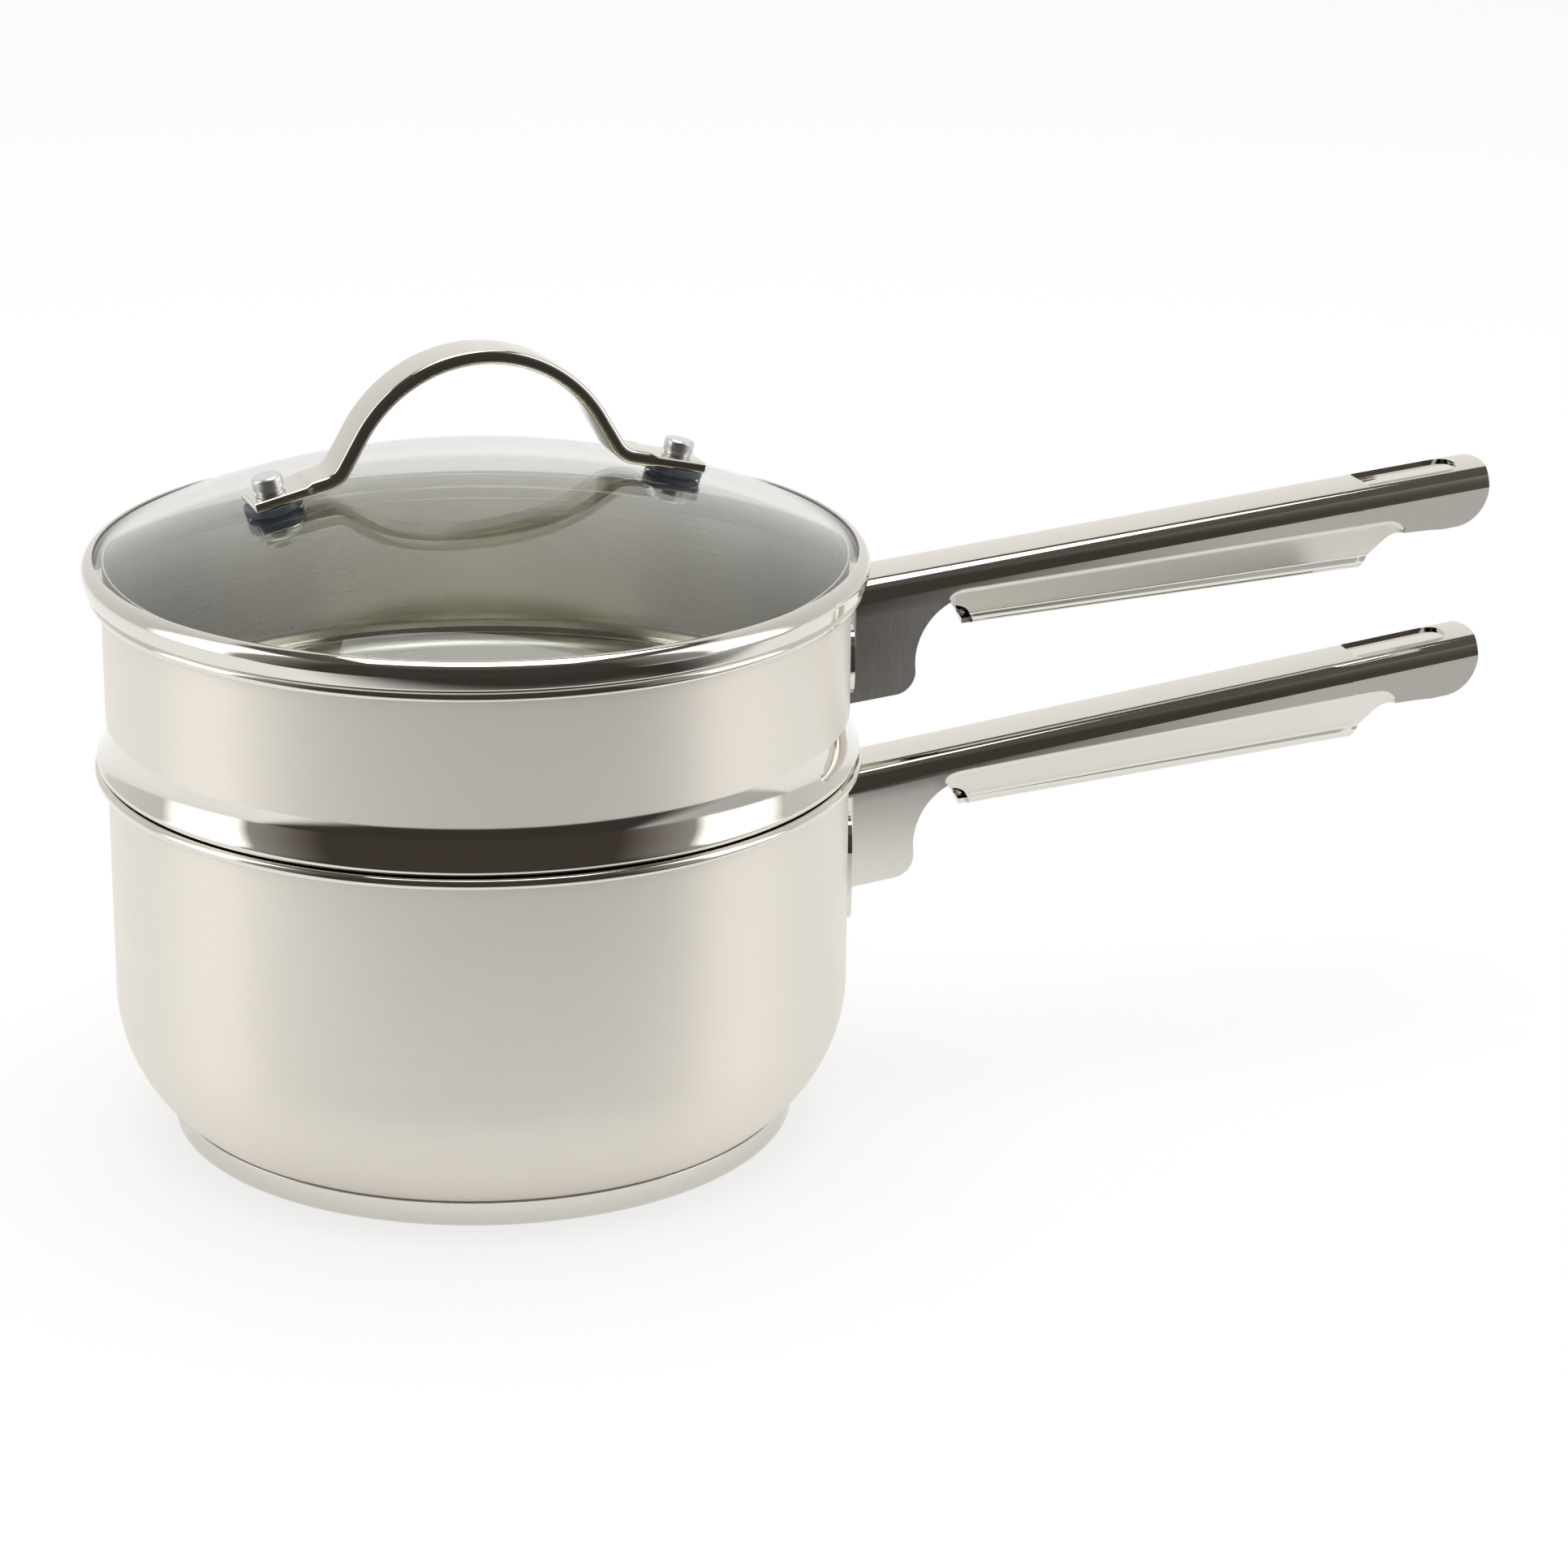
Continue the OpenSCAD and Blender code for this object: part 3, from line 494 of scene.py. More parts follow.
        notch = np.vstack([line((131.36, -21.4), (136.55, -13.79), 16),
                           arc((139.82, -16.08), 4.0, 145, 87.7, 10)[1:],
                           rim(139.98, 141.5, 4)[1:]])
        heel = arc(centre, radius, start, 4, 22)
        heel = np.vstack([line((25.96, -8.41), heel[0], 8)[:-1], heel])
        near = arc((x0 + 1.5, s_w - 1.5), 1.5, 180, 90, 8)
        far = arc((x1 - 4.6, s_w - 4.6), 4.6, 90, 0, 16)
        pairs = [
            (line((0.9, 0), (11, 0), 10), line((-0.2, -deep), (reach - corner, -deep), 10)),
            (line((11, 0), (14, 0), 12),
             arc((reach - corner, corner - deep), corner, -90, 0, 12)),
            (line((14, 0), (15.2, 0), 3), line((reach, corner - deep), (reach, -21.9), 3)),
            (line((15.2, 0), (26, 0), 40), arc((31.0, -21.9), 14.4, 180, 110.5, 40)),
            (line((26, 0), (33, 0), 30), heel),
            (line((33, 0), (128, 0), 24), line((heel[-1, 0], -25), (131.36, -25), 24)),
            (line((128, 0), (x0, 0), 10), notch[:11]),
            (line((x0, 0), near[0], 8), notch[10:19]),
            (near, notch[18:27]),
            (line(near[-1], (x0 + 4, s_w), 4), notch[26:]),
            (line((x0 + 4, s_w), far[0], 14), rim(141.5, 152.6, 14)),
            (far, rim(152.6, x1, 16)),
            (line(far[-1], (x1, 0), 2), rim(x1, x1 + 0.4, 2)),
            (line((x1, 0), (self.length, 0), 16), rim(x1 + 0.4, self.length, 16))]
        upper = np.vstack([a[:-1] for a, _ in pairs] + [pairs[-1][0][-1:]])
        lower = np.vstack([b[:-1] for _, b in pairs] + [pairs[-1][1][-1:]])
        return upper, self.flat(lower)

    def satin_share(self, u, s):
        """1 on the flank and the neck plates, which are brushed, 0 on the polished rest."""
        side_z, _, b, length, lift = self.fold(u)
        s1, _, s3, _ = self.stops(side_z, b, length, lift)
        flank = np.clip((s - s1) / 0.8, 0, 1) * np.clip((s3 - s) / 0.3, 0, 1)
        neck = 0.5 * np.clip((s - self.s_side) / 3, 0, 1) * np.clip((26 - u) / 3, 0, 1)
        return np.maximum(flank, neck).ravel()

    def sheet_mesh(self, heel, rows=72):
        """Half of the sheet with its cut edges: outer and inner grids joined round.

        A row runs straight over the flat sheet from the upper border to the lower one.
        """
        top, low = self.edges(*heel)
        q = np.linspace(0, 1, rows)[None, :, None]
        flat = top[:, None] + (low - top)[:, None] * q
        u, s = flat[..., 0], flat[..., 1]
        outer = self.place(u, s, 0)
        inner = self.place(u, s, self.sheet)
        open_top = top[:, 1] > 1e-6
        satin = np.tile(self.satin_share(u, s), 2)
        return *closed_sheet(outer, inner, open_top), satin

    def flange_mesh(self, columns=34, rows=24):
        """Bend and weld flange: a plan path swept up between a lower and an upper limit."""
        bend, width, corner, below_top = self.bend, 17.0 - self.bend, 6.5, 5.8
        cx = math.sqrt((self.wall_r + self.sheet + bend) ** 2 - (self.half + bend) ** 2)
        cy = self.half + bend
        turn = math.degrees(math.atan2(cy, cx))
        near = cy - bend * math.sin(math.radians(turn))
        far = near + width
        neck = self.top - self.neck_depth * math.cos(self.tilt)
        high = self.top - below_top
        drop = max(neck - self.foot, 0)
        neck = max(neck, self.foot)
        plan = []
        for depth in (0, self.sheet):
            r = self.wall_r + self.sheet - depth
            end = math.degrees(math.asin(far / r))
            plan.append(np.vstack([arc((cx, cy), bend + depth, 270, 180 + turn, 10)[:-1],
                                   arc((0, 0), r, turn, end, columns - 11)]))
        outer, inner = plan
        y = outer[:, 1]
        over = np.clip(y - (far - corner), 0, corner)
        pull = corner - np.sqrt(corner ** 2 - over ** 2)
        rise = np.clip(near + drop - y, 0, drop)
        lift = (drop - np.sqrt(np.maximum(drop ** 2 - rise ** 2, 0))) if drop > 0 else 0 * y
        low, top = self.foot + pull + lift, high - pull
        q = np.linspace(0, 1, rows)[None, :]
        z = low[:, None] + (top - low)[:, None] * q
        grids = [np.stack([g[:, 0:1] + 0 * z, g[:, 1:2] + 0 * z, z], axis=-1)
                 for g in (outer, inner)]
        points, faces = closed_sheet(*grids, np.ones(len(y), bool))
        return points, faces, np.zeros(len(points))


def closed_sheet(outer, inner, open_top):
    """Faces of a sheet from its outer and inner grid, with strips round the border.

    Row 0 gets a strip only where open_top says so. Returns points and quads.
    """
    n, m = outer.shape[:2]
    points = np.concatenate([outer.reshape(-1, 3), inner.reshape(-1, 3)])
    face = grid_faces(n, m, False, False)
    index = np.arange(n * m).reshape(n, m)
    strips = [face[:, ::-1], face + n * m]

    def strip(line, flip):
        a, b = line[:-1], line[1:]
        quad = np.column_stack([a, b, b + n * m, a + n * m])
        strips.append(quad[:, ::-1] if flip else quad)

    strip(index[:, -1], False)
    strip(index[0], False)
    strip(index[-1], True)
    row = index[:, 0]
    keep = open_top[:-1] | open_top[1:]
    quad = np.column_stack([row[:-1], row[1:], row[1:] + n * m, row[:-1] + n * m])[keep]
    strips.append(quad[:, ::-1])
    return points, np.concatenate(strips)


def paired(right, left):
    """One mesh of two: the right half, and the left one mirrored across y = 0."""
    points = np.concatenate([right[0], left[0] * [1, -1, 1]])
    faces = np.concatenate([right[1], left[1][:, ::-1] + len(right[0])])
    return points, faces, np.concatenate([right[2], left[2]])


def strap_points(l):
    """Centre line of half the strap: arch, straight leg, bend and foot, in (x, z).

    Returns points, the downward slope in degrees at each, and the distance along the foot.
    """
    arch_r, turn, bend_r, t = 30.8, 60.0, 6.0, 3.2
    crest, past_rivet = 26.58, 5.2
    a, b = math.radians(turn), math.radians(l.rivet_turn)
    centre = np.array([0, l.glass_z + l.glass_r + crest - t / 2 - arch_r])
    leg_top = centre + arch_r * np.array([math.sin(a), math.cos(a)])
    leg = np.array([math.cos(a), -math.sin(a)])
    foot = np.array([math.cos(b), -math.sin(b)])
    mid = np.array([0, l.glass_z]) + (l.glass_r + l.gasket_t + l.foot_t / 2) * np.array(
        [math.sin(b), math.cos(b)])

    def cross(v, w):
        return v[0] * w[1] - v[1] * w[0]

    knee = leg_top + cross(mid - leg_top, foot) / cross(leg, foot) * leg
    cut = bend_r * math.tan((a - b) / 2)
    bend_c = knee - cut * leg + bend_r * np.array([math.sin(a), math.cos(a)])
    bend_end = knee + cut * foot
    up = np.linspace(0, turn, 61)
    arch_pts = arc(centre, arch_r, 90, 90 - turn, 60)
    leg_pts = leg_top + np.linspace(0, 1, 9)[1:-1, None] * (knee - cut * leg - leg_top)
    bend_pts = arc(bend_c, bend_r, 270 - turn, 270 - l.rivet_turn, 24)
    reach = np.linalg.norm(mid - bend_end) + past_rivet
    run = np.linspace(0, reach, 40)[1:]
    foot_pts = bend_end + run[:, None] * foot
    slope = np.concatenate([
        up, np.full(len(leg_pts), turn), np.linspace(turn, l.rivet_turn, len(bend_pts)),
        np.full(len(run), l.rivet_turn)])
    dist = np.concatenate([np.full(len(slope) - len(run), -1.0), run])
    return np.vstack([arch_pts, leg_pts, bend_pts, foot_pts]), slope, dist, reach


def strap_mesh(l):
    """A rounded bar carried along the strap's line, flattened and widened at its feet.

    The section is a rectangle of half widths w and h whose corners are quarter circles.
    The foot's flat part is 13.6 long, and its last half millimetre is rounded off.
    """
    line, slope, dist, reach = strap_points(l)
    foot, blend, tail = 13.6, 2.0, 0.5
    pad = np.clip((dist - (reach - foot)) / blend, 0, 1)
    pad = pad * pad * (3 - 2 * pad)
    end = np.clip((dist - (reach - tail)) / tail, 0, 1)
    shrink = tail * (1 - np.sqrt(1 - end ** 2 * 0.999))
    w = 5.5 + 0.4 * pad - shrink
    h = 1.6 - 0.5 * pad - shrink
    edge = 1.0 - 0.4 * pad
    corner = np.radians(np.concatenate([np.linspace(a, a + 90, 7) for a in (0, 90, 180, 270)]))
    sx, sy = (np.sign(f(corner[3::7])).repeat(7) for f in (np.cos, np.sin))
    edge = np.minimum(edge, h * 0.98)[:, None]
    across = (w[:, None] - edge) * sx + edge * np.cos(corner)
    out = (h[:, None] - edge) * sy + edge * np.sin(corner)
    a = np.radians(slope)[:, None]
    x = line[:, 0:1] + out * np.sin(a)
    z = line[:, 1:2] + out * np.cos(a)
    half = np.stack([x, across, z], axis=-1)
    other = half[:0:-1] * [-1, 1, 1]
    full = np.concatenate([other, half])
    n, m = full.shape[:2]
    faces = grid_faces(n, m, False, True).tolist()
    caps = [list(range(m))[::-1], list(range((n - 1) * m, n * m))]
    return full.reshape(-1, 3) * MM, faces + caps


# Materials

def reckoning(operation, swapped=False):
    """A method that puts a Value and another value through a Math node."""
    def reckon(self, other):
        return self.math(operation, *((other, self) if swapped else (self, other)))
    return reckon


class Value:
    """A socket to reckon with: its operators add Math nodes."""

    def __init__(self, nodes, socket):
        self.nodes, self.socket = nodes, socket

    def math(self, operation, *values):
        return self.nodes.math(operation, *values)

    __add__, __radd__ = reckoning("ADD"), reckoning("ADD", True)
    __sub__, __rsub__ = reckoning("SUBTRACT"), reckoning("SUBTRACT", True)
    __mul__, __rmul__ = reckoning("MULTIPLY"), reckoning("MULTIPLY", True)
    __truediv__, __pow__ = reckoning("DIVIDE"), reckoning("POWER")


class Nodes:
    """Adds nodes to a material or world and links them."""

    def __init__(self, owner):
        owner.use_nodes = True
        self.tree = owner.node_tree
        self.tree.nodes.clear()

    def add(self, kind, options=None, inputs=None, output=0):
        node = self.tree.nodes.new(kind)
        for key, value in (options or {}).items():
            if key == "stops":
                ramp = node.color_ramp
                while len(ramp.elements) < len(value):
                    ramp.elements.new(0.5)
                for element, (place, colour) in zip(ramp.elements, value):
                    element.position = place
                    element.color = (*colour, 1)
            else:
                setattr(node, key, value)
        for key, value in (inputs or {}).items():
            if isinstance(value, Value):
                self.tree.links.new(value.socket, node.inputs[key])
            else:
                node.inputs[key].default_value = value
        return Value(self, node.outputs[output])

    def shade(self, surface, kind="ShaderNodeOutputMaterial"):
        out = self.tree.nodes.new(kind)
        self.tree.links.new(surface.socket, out.inputs["Surface"])

    def math(self, operation, *values):
        return self.add("ShaderNodeMath", {"operation": operation}, dict(enumerate(values)))

    def mix(self, factor, a, b, blend="MIX"):
        """Mixes two colours, sockets or plain ones."""
        a, b = (v if isinstance(v, Value) else (*v, 1) for v in (a, b))
        return self.add("ShaderNodeMix", {"data_type": "RGBA", "blend_type": blend},
                        {0: factor, 6: a, 7: b}, output=2)

    def shaders(self, factor, a, b):
        return self.add("ShaderNodeMixShader", {}, {0: factor, 1: a, 2: b})

    def rays(self, *kinds):
        path = self.add("ShaderNodeLightPath").socket.node
        return [Value(self, path.outputs[kind]) for kind in kinds]

    def axes(self, vector):
        """The vector itself and its three parts."""
        parts = self.add("ShaderNodeSeparateXYZ", inputs={0: vector}).socket.node
        return vector, [Value(self, part) for part in parts.outputs]

    def object_axes(self):
        return self.axes(self.add("ShaderNodeTexCoord", output="Object"))

    def noise(self, vector, scale, detail=2.0):
        return self.add("ShaderNodeTexNoise", {}, {
            "Vector": vector, "Scale": scale, "Detail": detail})

    def step(self, value, low, high):
        """0 below low, 1 above high, smooth between them."""
        return self.add("ShaderNodeMapRange", {"interpolation_type": "SMOOTHSTEP"},
                        {"Value": value, "From Min": low, "From Max": high})

    def turned_lines(self, pitch):
        """Fine lines round Z: noise read on (x/r, y/r) slowly and on z + r quickly."""
        _, (x, y, z) = self.object_axes()
        r = (x * x + y * y + 1e-8) ** 0.5
        lines = self.add("ShaderNodeCombineXYZ",
                         inputs={0: x / r * 4, 1: y / r * 4, 2: (z + r) * (1 / pitch)})
        return self.noise(lines, 1.0, 2.0), r, z


def colour(value):
    return (*value, 1)


def new_material(name):
    material = bpy.data.materials.new(name)
    return material, Nodes(material)


def pan_steel(name, polished=()):
    """Steel brushed round Z, with polished bands given as (lowest z, highest z, least r).

    Where the surface faces the axis or up it is the pan's inside: glossier, and darker in
    colour as painted shade.
    """
    finish = settings().finish
    material, n = new_material(name)
    lines, r, z = n.turned_lines(0.0005)
    place, (x, y, _) = n.object_axes()
    _, (nx, ny, nz) = n.axes(n.add("ShaderNodeNewGeometry", output="Normal"))
    cloud = n.noise(place, 35.0, 3.0)
    satin = 1.0
    for low, high, least in polished:
        above = n.step(z, low - 0.0003, low + 0.0003)
        band = above * (1 - n.step(z, high - 0.0003, high + 0.0003))
        satin = satin * (1 - band * n.step(r, least - 0.0002, least + 0.0001))
    rough = (lines - 0.5) * 0.16 + (cloud - 0.5) * 0.10 + finish.satin
    shine = satin * (rough - finish.polish) + finish.polish
    bump = n.add("ShaderNodeBump", {}, {"Strength": 0.06, "Distance": 0.0002,
                                        "Height": lines * satin})
    # Mask of the brushed inside surfaces, which take the darker colour as painted shade
    inside = satin * n.step(nz * 0.5 - (nx * x + ny * y) / r, -0.05, 0.05)
    tone = n.mix(satin, finish.steel, finish.brushed)
    n.shade(n.add("ShaderNodeBsdfPrincipled", {}, {
        "Base Color": n.mix(inside, tone, finish.inside_shade),
        "Metallic": 1 - satin * 0.5 * (1 - inside), "Roughness": shine - inside * 0.12,
        "Anisotropic": 0.85, "Anisotropic Rotation": 0.25, "Normal": bump}))
    return material


def polished_steel(name, along=False):
    """Mirror-polished steel with faint smears, and fine lines along X on the handles."""
    finish = settings().finish
    material, n = new_material(name)
    place, (x, y, z) = n.object_axes()
    smear = n.noise(place, 60.0, 4.0)
    rough = finish.polish + (smear - 0.5) * 0.05
    inputs = {"Base Color": colour(finish.steel), "Metallic": 1.0, "Roughness": rough}
    if along:
        satin = n.add("ShaderNodeAttribute", {"attribute_name": "satin"}, output="Fac")
        grain = n.noise(n.add("ShaderNodeCombineXYZ",
                              inputs={0: x * 2500, 1: y * 2500, 2: z * 350}), 1.0, 3.0)
        inputs["Roughness"] = rough + satin * (0.30 + (grain - 0.5) * 0.15)
        inputs["Normal"] = n.add("ShaderNodeBump", {}, {"Strength": 0.12, "Distance": 0.0001,
                                                        "Height": grain * satin})
    n.shade(n.add("ShaderNodeBsdfPrincipled", {}, inputs))
    return material


def lid_glass_material():
    """Clear tempered glass that lets light through to what lies under it."""
    material, n = new_material("tempered_glass")
    glass = n.add("ShaderNodeBsdfPrincipled", {}, {
        "Base Color": colour(settings().finish.glass), "Roughness": 0.0, "IOR": 1.5,
        "Transmission Weight": 1.0})
    clear = n.add("ShaderNodeBsdfTransparent", {}, {"Color": (0.93, 0.96, 0.94, 1)})
    shadow = n.add("ShaderNodeLightPath", output="Is Shadow Ray")
    n.shade(n.shaders(shadow, glass, clear))
    return material


def silicone_material():
    """Dark blue-grey silicone with a soft sheen and a little cloudiness."""
    material, n = new_material("silicone")
    place, _ = n.object_axes()
    cloud = n.noise(place, 300.0, 2.0)
    n.shade(n.add("ShaderNodeBsdfPrincipled", {}, {
        "Base Color": n.mix(cloud, settings().finish.silicone, (0.09, 0.105, 0.13)),
        "Roughness": 0.32, "Specular IOR Level": 0.6}))
    return material


def rivet_material():
    material, n = new_material("turned_aluminium")
    place, _ = n.object_axes()
    grain = n.noise(place, 900.0, 3.0)
    bump = n.add("ShaderNodeBump", {}, {"Strength": 0.12, "Distance": 0.0001, "Height": grain})
    n.shade(n.add("ShaderNodeBsdfPrincipled", {}, {
        "Base Color": (0.74, 0.75, 0.77, 1), "Metallic": 1.0,
        "Roughness": (grain - 0.5) * 0.15 + 0.34, "Normal": bump}))
    return material


# Pieces

def dress(obj, material):
    obj.data.materials.clear()
    obj.data.materials.append(material)
    return obj


def finish_mesh(obj, sharp=40):
    """Welds the seam points and marks the corners that stay sharp."""
    b = bmesh.new()
    b.from_mesh(obj.data)
    bmesh.ops.remove_doubles(b, verts=b.verts, dist=2e-6)
    bmesh.ops.dissolve_degenerate(b, edges=b.edges, dist=1e-7)
    bmesh.ops.recalc_face_normals(b, faces=b.faces)
    b.to_mesh(obj.data)
    b.free()
    obj.data.shade_smooth()
    obj.data.set_sharp_from_angle(angle=math.radians(sharp))
    return obj


class DB_OT_saucepan(bpy.types.Operator):
    """Turn the saucepan's shell and its base cap, and finish the core."""

    bl_idname = "double_boiler.saucepan"
    bl_label = "Saucepan"

    def execute(self, context):
        p = Pan()
        rim = p.top * MM
        steel = pan_steel("saucepan_steel", [(rim - p.bead_h * MM, rim + 0.001, 0)])
        shell = make_piece("saucepan_shell_turned", *lathe(saucepan_outline(p), p.steps),
                           "saucepan", "satin_steel", ["saucepan_shell"])
        dress(finish_mesh(shell), steel)
        cap = make_piece("base_cap_turned", *lathe(soften(cap_outline(p), 0.15), p.steps),
                         "saucepan", "satin_steel", ["base_cap"])
        dress(finish_mesh(cap), polished_steel("cap_steel"))
        dress(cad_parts["base_core"], rivet_material())
        return {"FINISHED"}


class DB_OT_insert(bpy.types.Operator):
    """Turn the stepped insert pan."""

    bl_idname = "double_boiler.insert"
    bl_label = "Insert pan"

    def execute(self, context):
        p = Pan()
        rim = p.rim * MM
        steel = pan_steel("insert_steel", [
            (rim - p.bead_h * MM, rim + 0.001, 0),
            (p.seat * MM - 0.0005, (p.seat + p.flare_h) * MM, p.wall_r * MM - 0.0003)])
        shell = make_piece("insert_shell_turned", *lathe(insert_outline(p), p.steps),
                           "insert", "satin_steel", ["insert_shell"])
        dress(finish_mesh(shell), steel)
        return {"FINISHED"}


class DB_OT_handles(bpy.types.Operator):
    """Fold the two long sheet handles."""

    bl_idname = "double_boiler.handles"
    bl_label = "Long handles"

    # Centre, radius and start of the round heel, cut a little differently on either side.
    FAR_HEEL = ((22.8, -17.4), 9.1, 53)
    NEAR_HEEL = ((26.6, -17.8), 7.45, 79.2)

    def execute(self, context):
        p = Pan()
        steel = polished_steel("handle_steel", along=True)
        neck_depth, below_neck, above_flare = 27.6, 2.4, 0.3
        saucepan_top, insert_top = p.top - 12.6, p.rim - 8.6
        saucepan_foot = saucepan_top - neck_depth - below_neck
        for name, body, top, tilt, foot in (
                ("saucepan_handle", "saucepan", saucepan_top, 5.6, saucepan_foot),
                ("insert_handle", "insert", insert_top, 4.6, p.seat + p.flare_h + above_flare)):
            h = Handle(p, top, tilt, foot)
            points, faces, satin = paired(h.sheet_mesh(self.FAR_HEEL),
                                          h.sheet_mesh(self.NEAR_HEEL))
            points = h.stand(points)
            extra, extra_faces, plain = paired(h.flange_mesh(), h.flange_mesh())
            both = np.concatenate([points, extra]) * MM
            quads = np.concatenate([faces, extra_faces + len(points)])
            obj = make_piece(name + "_folded", both, quads, body, "polished_steel", [name])
            share = obj.data.attributes.new("satin", "FLOAT", "POINT")
            share.data.foreach_set("value", np.concatenate([satin, plain]))
            dress(finish_mesh(obj, 45), steel)
        return {"FINISHED"}


class DB_OT_lid(bpy.types.Operator):
    """Turn the glass and its band, and bend the strap handle."""

    bl_idname = "double_boiler.lid"
    bl_label = "Lid"

    def execute(self, context):
        p = Pan()
        l = Lid(p)
        band = make_piece("lid_band_rolled", *lathe(band_outline(l), p.steps),
                          "lid", "polished_steel", ["lid_band"])
        dress(finish_mesh(band), polished_steel("band_steel"))
        glass = make_piece("lid_glass_domed", *lathe(glass_outline(l), p.steps),
                           "lid", "lid_glass", ["lid_glass"])
        dress(finish_mesh(glass), lid_glass_material())
        strap = make_piece("lid_strap_bent", *strap_mesh(l), "lid", "polished_steel",
                           ["lid_strap"])
        dress(finish_mesh(strap), polished_steel("strap_steel"))
        return {"FINISHED"}


class DB_OT_rivets(bpy.types.Operator):
    """Turn the rivets, gaskets and washers that hold the strap to the glass."""

    bl_idname = "double_boiler.rivets"
    bl_label = "Rivets and gaskets"

    def execute(self, context):
        p = Pan()
        l = Lid(p)
        metal, silicone = rivet_material(), silicone_material()
        washer_steel = polished_steel("washer_steel")
        shank_r, hole_r, sleeve_r, pad_r = 2.5, 2.6, 3.4, 6.3
        washer_r, washer_t = 5.7, 0.8
        base_r, base_t, collar_r, collar_t = 4.7, 1.6, 2.9, 0.8
        head_r, head_t, bevel = 3.3, 2.7, 0.5
        under = -l.glass_t - l.gasket_t
        foot = l.gasket_t + l.foot_t
        base = under - washer_t - base_t
        neck = foot + collar_t
        crest = neck + head_t
        rivet = soften(np.array([
            [0, base], [base_r - bevel, base], [base_r, base + bevel],
            [base_r, base + base_t], [shank_r, base + base_t], [shank_r, foot],
            [collar_r, foot], [collar_r, neck], [head_r, neck],
            [head_r, crest - bevel], [head_r - bevel, crest], [0, crest]]), 0.18)
        dip = -pad_r ** 2 / (2 * l.glass_r)
        upper = soften(np.array([
            [hole_r, -l.glass_t], [sleeve_r, -l.glass_t], [sleeve_r, -0.03], [pad_r, dip],
            [pad_r, l.gasket_t], [hole_r, l.gasket_t]]), 0.25)
        lower = soften(np.array([
            [hole_r, under], [pad_r, under], [pad_r, -l.glass_t + dip],
            [hole_r, -l.glass_t - 0.02]]), 0.25)
        washer = soften(np.array([
            [hole_r, under - washer_t], [washer_r, under - washer_t],
            [washer_r, under], [hole_r, under]]), 0.12)
        for side, turn in (("left", -l.rivet_turn), ("right", l.rivet_turn)):
            for kind, outline, slot, material in (
                    ("rivet", rivet, "rivet_aluminium", metal),
                    ("upper_gasket", upper, "gasket_rubber", silicone),
                    ("lower_gasket", lower, "gasket_rubber", silicone),
                    ("washer", washer, "washer_steel", washer_steel)):
                points, faces = lathe(outline, 64)
                points = tilted(points / MM, l.glass_z, turn, l.glass_r) * MM
                obj = make_piece(f"{kind}_{side}_turned", points, faces, "lid", slot,
                                 [f"{kind}_{side}"])
                dress(finish_mesh(obj), material)
        return {"FINISHED"}


# Stage

def area_light(name, place, aim, width, height, power):
    light = bpy.data.lights.new(name, "AREA")
    light.shape = "RECTANGLE"
    light.size, light.size_y = width, height
    light.energy = power
    obj = bpy.data.objects.new(name, light)
    obj.location = place
    obj.rotation_euler = (Vector(aim) - Vector(place)).to_track_quat("-Z", "Y").to_euler()
    bpy.context.scene.collection.objects.link(obj)


def floor_disc(radius, rings=8, round=96):
    """A flat disc 0.1 mm under the base: rings of points at radii that grow as i squared."""
    r = radius * np.linspace(0, 1, rings + 1)[1:] ** 2
    t = np.linspace(0, 2 * np.pi, round, endpoint=False)
    points = np.stack([r[:, None] * np.cos(t), r[:, None] * np.sin(t),
                       np.full((rings, round), -0.0001)], axis=-1).reshape(-1, 3)
    mesh = bpy.data.meshes.new("floor")
    faces = grid_faces(rings, round, False, True)[:, ::-1].tolist()
    mesh.from_pydata(points.tolist(), [], faces + [list(range(round))])
    obj = bpy.data.objects.new("floor", mesh)
    bpy.context.scene.collection.objects.link(obj)
    return obj


def studio_room(n):
    """What polished metal sees: a dark room in front, a bright softbox, a grey backdrop.

    turn is the angle from the camera's side round Z as a share of 180 degrees, and rise is
    the sine of the height above the horizon. A stop holds the angle in degrees, the level
    and the share of blue. Above rise 0.8 there is a dark ceiling, with a lamp overhead.
    """
    _, (x, y, rise) = n.axes(n.add("ShaderNodeTexCoord", output="Generated"))
    ahead, aside = y * -0.9563 - x * 0.2924, x * 0.9563 - y * 0.2924
    turn = n.math("ABSOLUTE", aside.math("ARCTAN2", aside, ahead) / math.pi + 0.017)
    stops = [(44, 0.028, 0.7), (52, 0.07, 0.8), (69, 0.17, 0.9), (74, 0.90, 0.97),
             (97, 0.90, 0.97), (104, 0.34, 0.97), (140, 0.40, 0.96), (180, 0.48, 0.96)]
    sides = n.add("ShaderNodeValToRGB", {"stops": [
        (at / 180, (level, level * (1 + cool) / 2, level * cool))
        for at, level, cool in stops]}, {0: turn})
    sides = n.mix(1.0, sides, (2, 2, 2), "MULTIPLY")
    low = n.mix(n.step(rise, 0.78, 0.83), sides, (0.10, 0.095, 0.085))
    return n.mix(n.step(rise, 0.975, 0.99), low, (1.0, 1.0, 1.0))


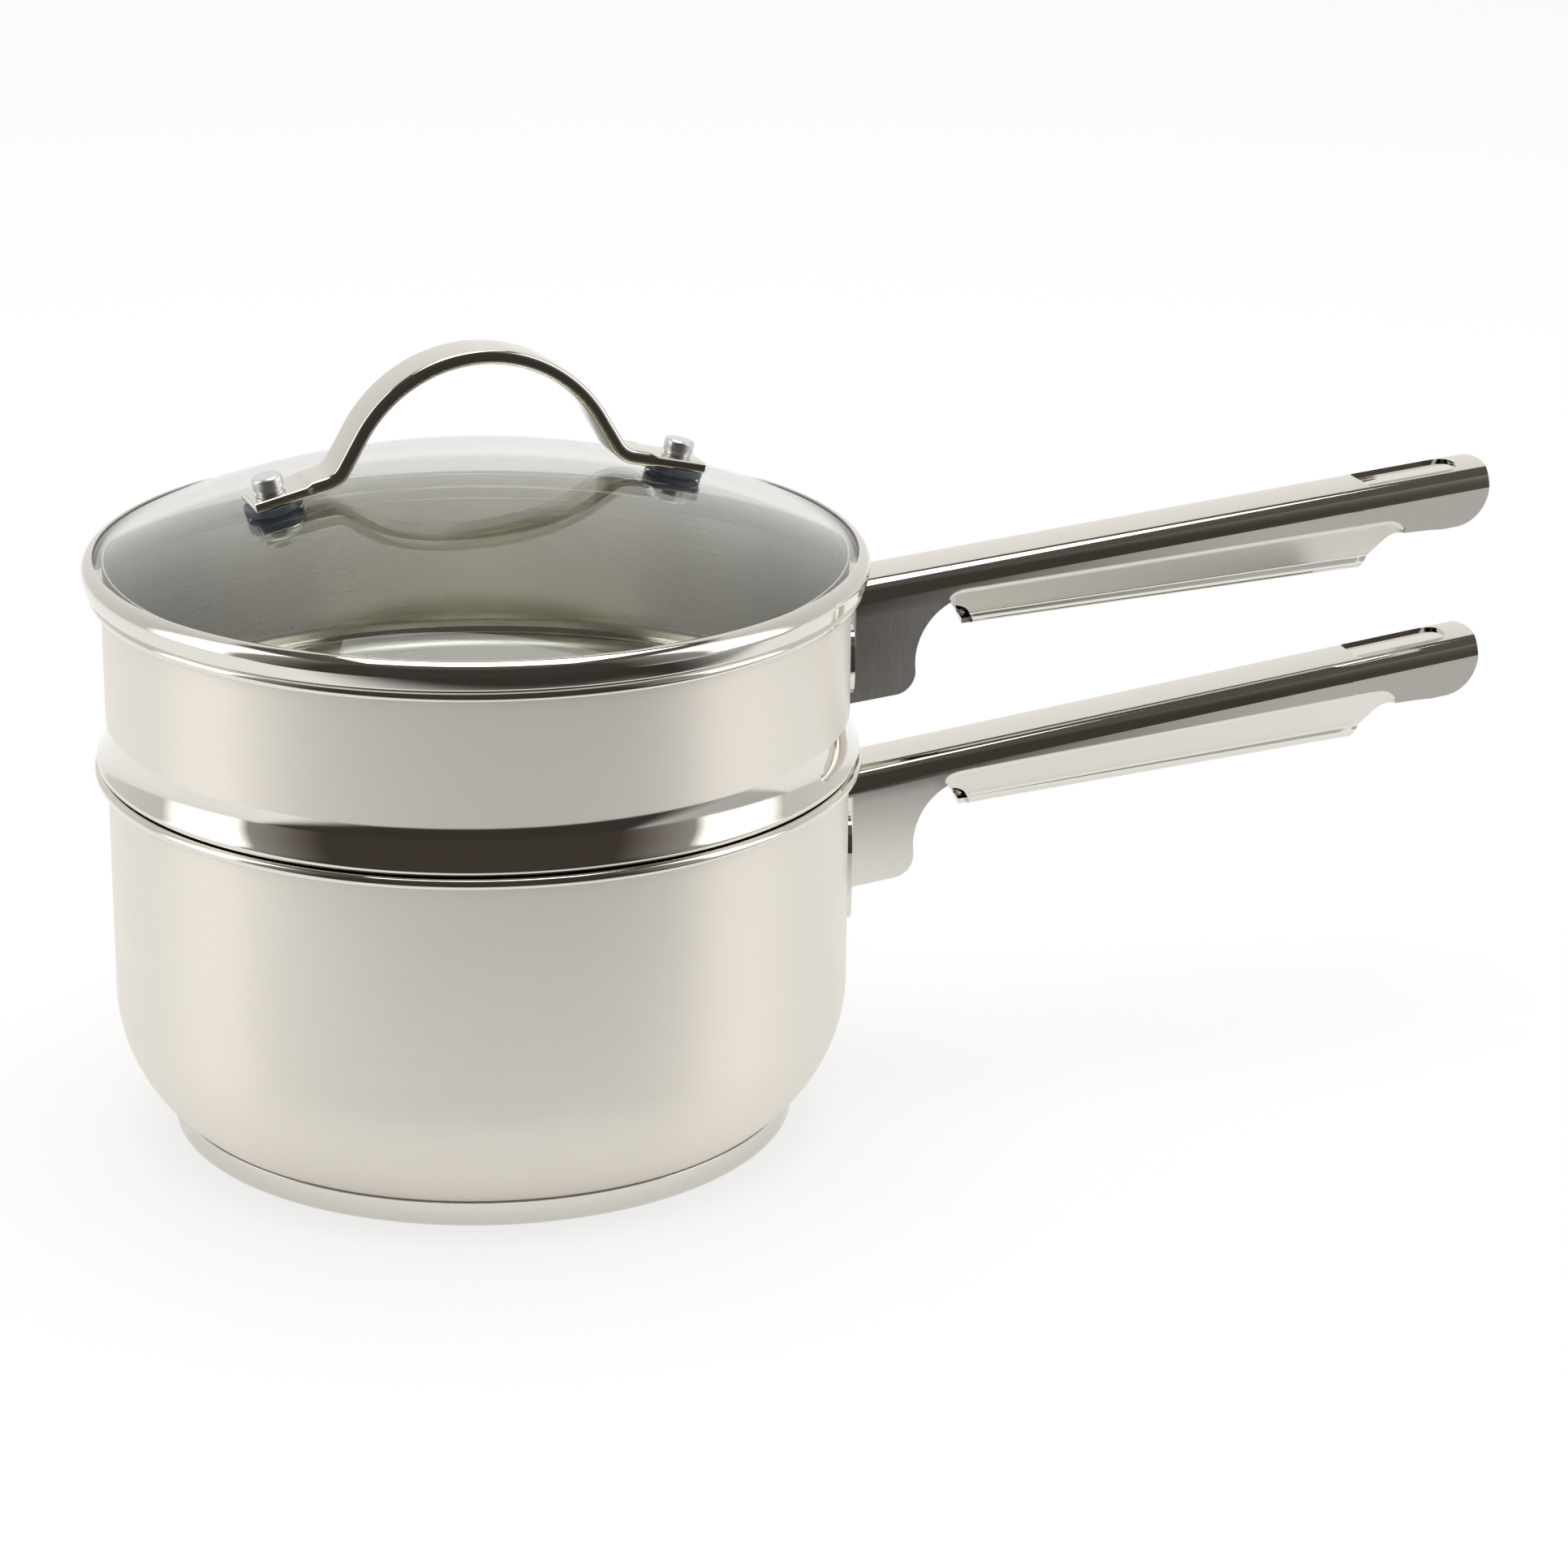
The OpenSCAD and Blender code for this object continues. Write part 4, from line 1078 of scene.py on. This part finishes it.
class DB_OT_stage(bpy.types.Operator):
    """Set the floor, the lamps, the surroundings and the camera."""

    bl_idname = "double_boiler.stage"
    bl_label = "Stage"

    def execute(self, context):
        stage = settings().stage
        scene = bpy.context.scene
        floor = floor_disc(stage.floor_radius)
        material, n = new_material("pale_floor")
        camera_ray, glossy_ray, clear_ray = n.rays("Is Camera Ray", "Is Glossy Ray",
                                                   "Is Transmission Ray")
        _, (x, y, _) = n.object_axes()
        left, right = n.step(y, -0.27, -0.12), n.step(y, -0.215, -0.125)
        table = left + (right - left) * n.step(x, 0.05, 0.15)
        aside = n.step(x + y * 0.4, 0.06, 0.24) * 0.5
        lit = n.add("ShaderNodeBsdfDiffuse", {}, {"Color": (0.97, 0.97, 0.97, 1)})
        white = n.add("ShaderNodeEmission", {}, {"Color": (1, 1, 1, 1)})
        dark = n.add("ShaderNodeEmission", {}, {"Color": (0.045, 0.042, 0.038, 1)})
        seen = n.shaders(camera_ray * 0.68 + clear_ray * 0.68 + glossy_ray * 0.5, lit, white)
        n.shade(n.shaders(glossy_ray * (1 - table.math("MAXIMUM", table, aside)), seen, dark))
        dress(floor, material)

        scene.world = bpy.data.worlds.new("studio")
        n = Nodes(scene.world)
        camera_ray, glossy_ray, clear_ray, mirrored = n.rays(
            "Is Camera Ray", "Is Glossy Ray", "Is Transmission Ray", "Glossy Depth")
        mirrored = n.step(mirrored, 0.4, 0.6)
        straight = camera_ray + clear_ray * (1 - mirrored)
        white = n.add("ShaderNodeBackground", {}, {"Color": (1, 1, 1, 1)})
        room = n.add("ShaderNodeBackground", {}, {"Color": studio_room(n)})
        fill = n.add("ShaderNodeBackground", {}, {"Color": (0.8, 0.8, 0.8, 1)})
        reflected = glossy_ray + clear_ray * mirrored
        n.shade(n.shaders(straight, n.shaders(reflected, fill, room), white),
                "ShaderNodeOutputWorld")

        area_light("top_softbox", (0.1, 0.1, 1.5), (0.05, 0, 0.1), 1.0, 1.0, 8)

        camera = bpy.data.cameras.new("camera")
        camera.sensor_width = 36
        camera.lens = stage.lens
        camera.clip_start = 0.01
        obj = bpy.data.objects.new("camera", camera)
        right = (0.934496, -0.355847, 0.009539)
        up = (0.108868, 0.311210, 0.944085)
        back = (-0.338918, -0.881204, 0.329565)
        turn = Matrix((right, up, back)).transposed().to_4x4()
        obj.matrix_world = Matrix.Translation((-0.27656, -0.90459, 0.40509)) @ turn
        scene.collection.objects.link(obj)
        scene.camera = obj
        scene.view_settings.view_transform = "Standard"
        return {"FINISHED"}


# Add-on

class DoubleBoilerSettings(bpy.types.PropertyGroup):
    """All settings of the dressed part."""

    pans: PointerProperty(type=PanSizes)
    finish: PointerProperty(type=FinishSettings)
    stage: PointerProperty(type=StageSettings)


class DB_PT_panel(bpy.types.Panel):
    """Lists the settings and the steps."""

    bl_idname = "DB_PT_panel"
    bl_label = "Double boiler"
    bl_space_type = "VIEW_3D"
    bl_region_type = "UI"
    bl_category = "Double boiler"

    def draw(self, context):
        for group in (settings().pans, settings().finish, settings().stage):
            box = self.layout.box()
            for key in group.bl_rna.properties.keys():
                if key not in ("rna_type", "name"):
                    box.prop(group, key)
        for step in STEPS:
            self.layout.operator(step.bl_idname)


STEPS = (DB_OT_saucepan, DB_OT_insert, DB_OT_handles, DB_OT_lid, DB_OT_rivets, DB_OT_stage)
CLASSES = (PanSizes, FinishSettings, StageSettings, DoubleBoilerSettings, *STEPS, DB_PT_panel)


def register():
    for cls in CLASSES:
        bpy.utils.register_class(cls)
    bpy.types.Scene.double_boiler = PointerProperty(type=DoubleBoilerSettings)


def unregister():
    del bpy.types.Scene.double_boiler
    for cls in reversed(CLASSES):
        bpy.utils.unregister_class(cls)


def main():
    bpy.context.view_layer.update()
    register()
    for step in STEPS:
        group, name = step.bl_idname.split(".")
        getattr(getattr(bpy.ops, group), name)()


if __name__ == "__main__":
    main()
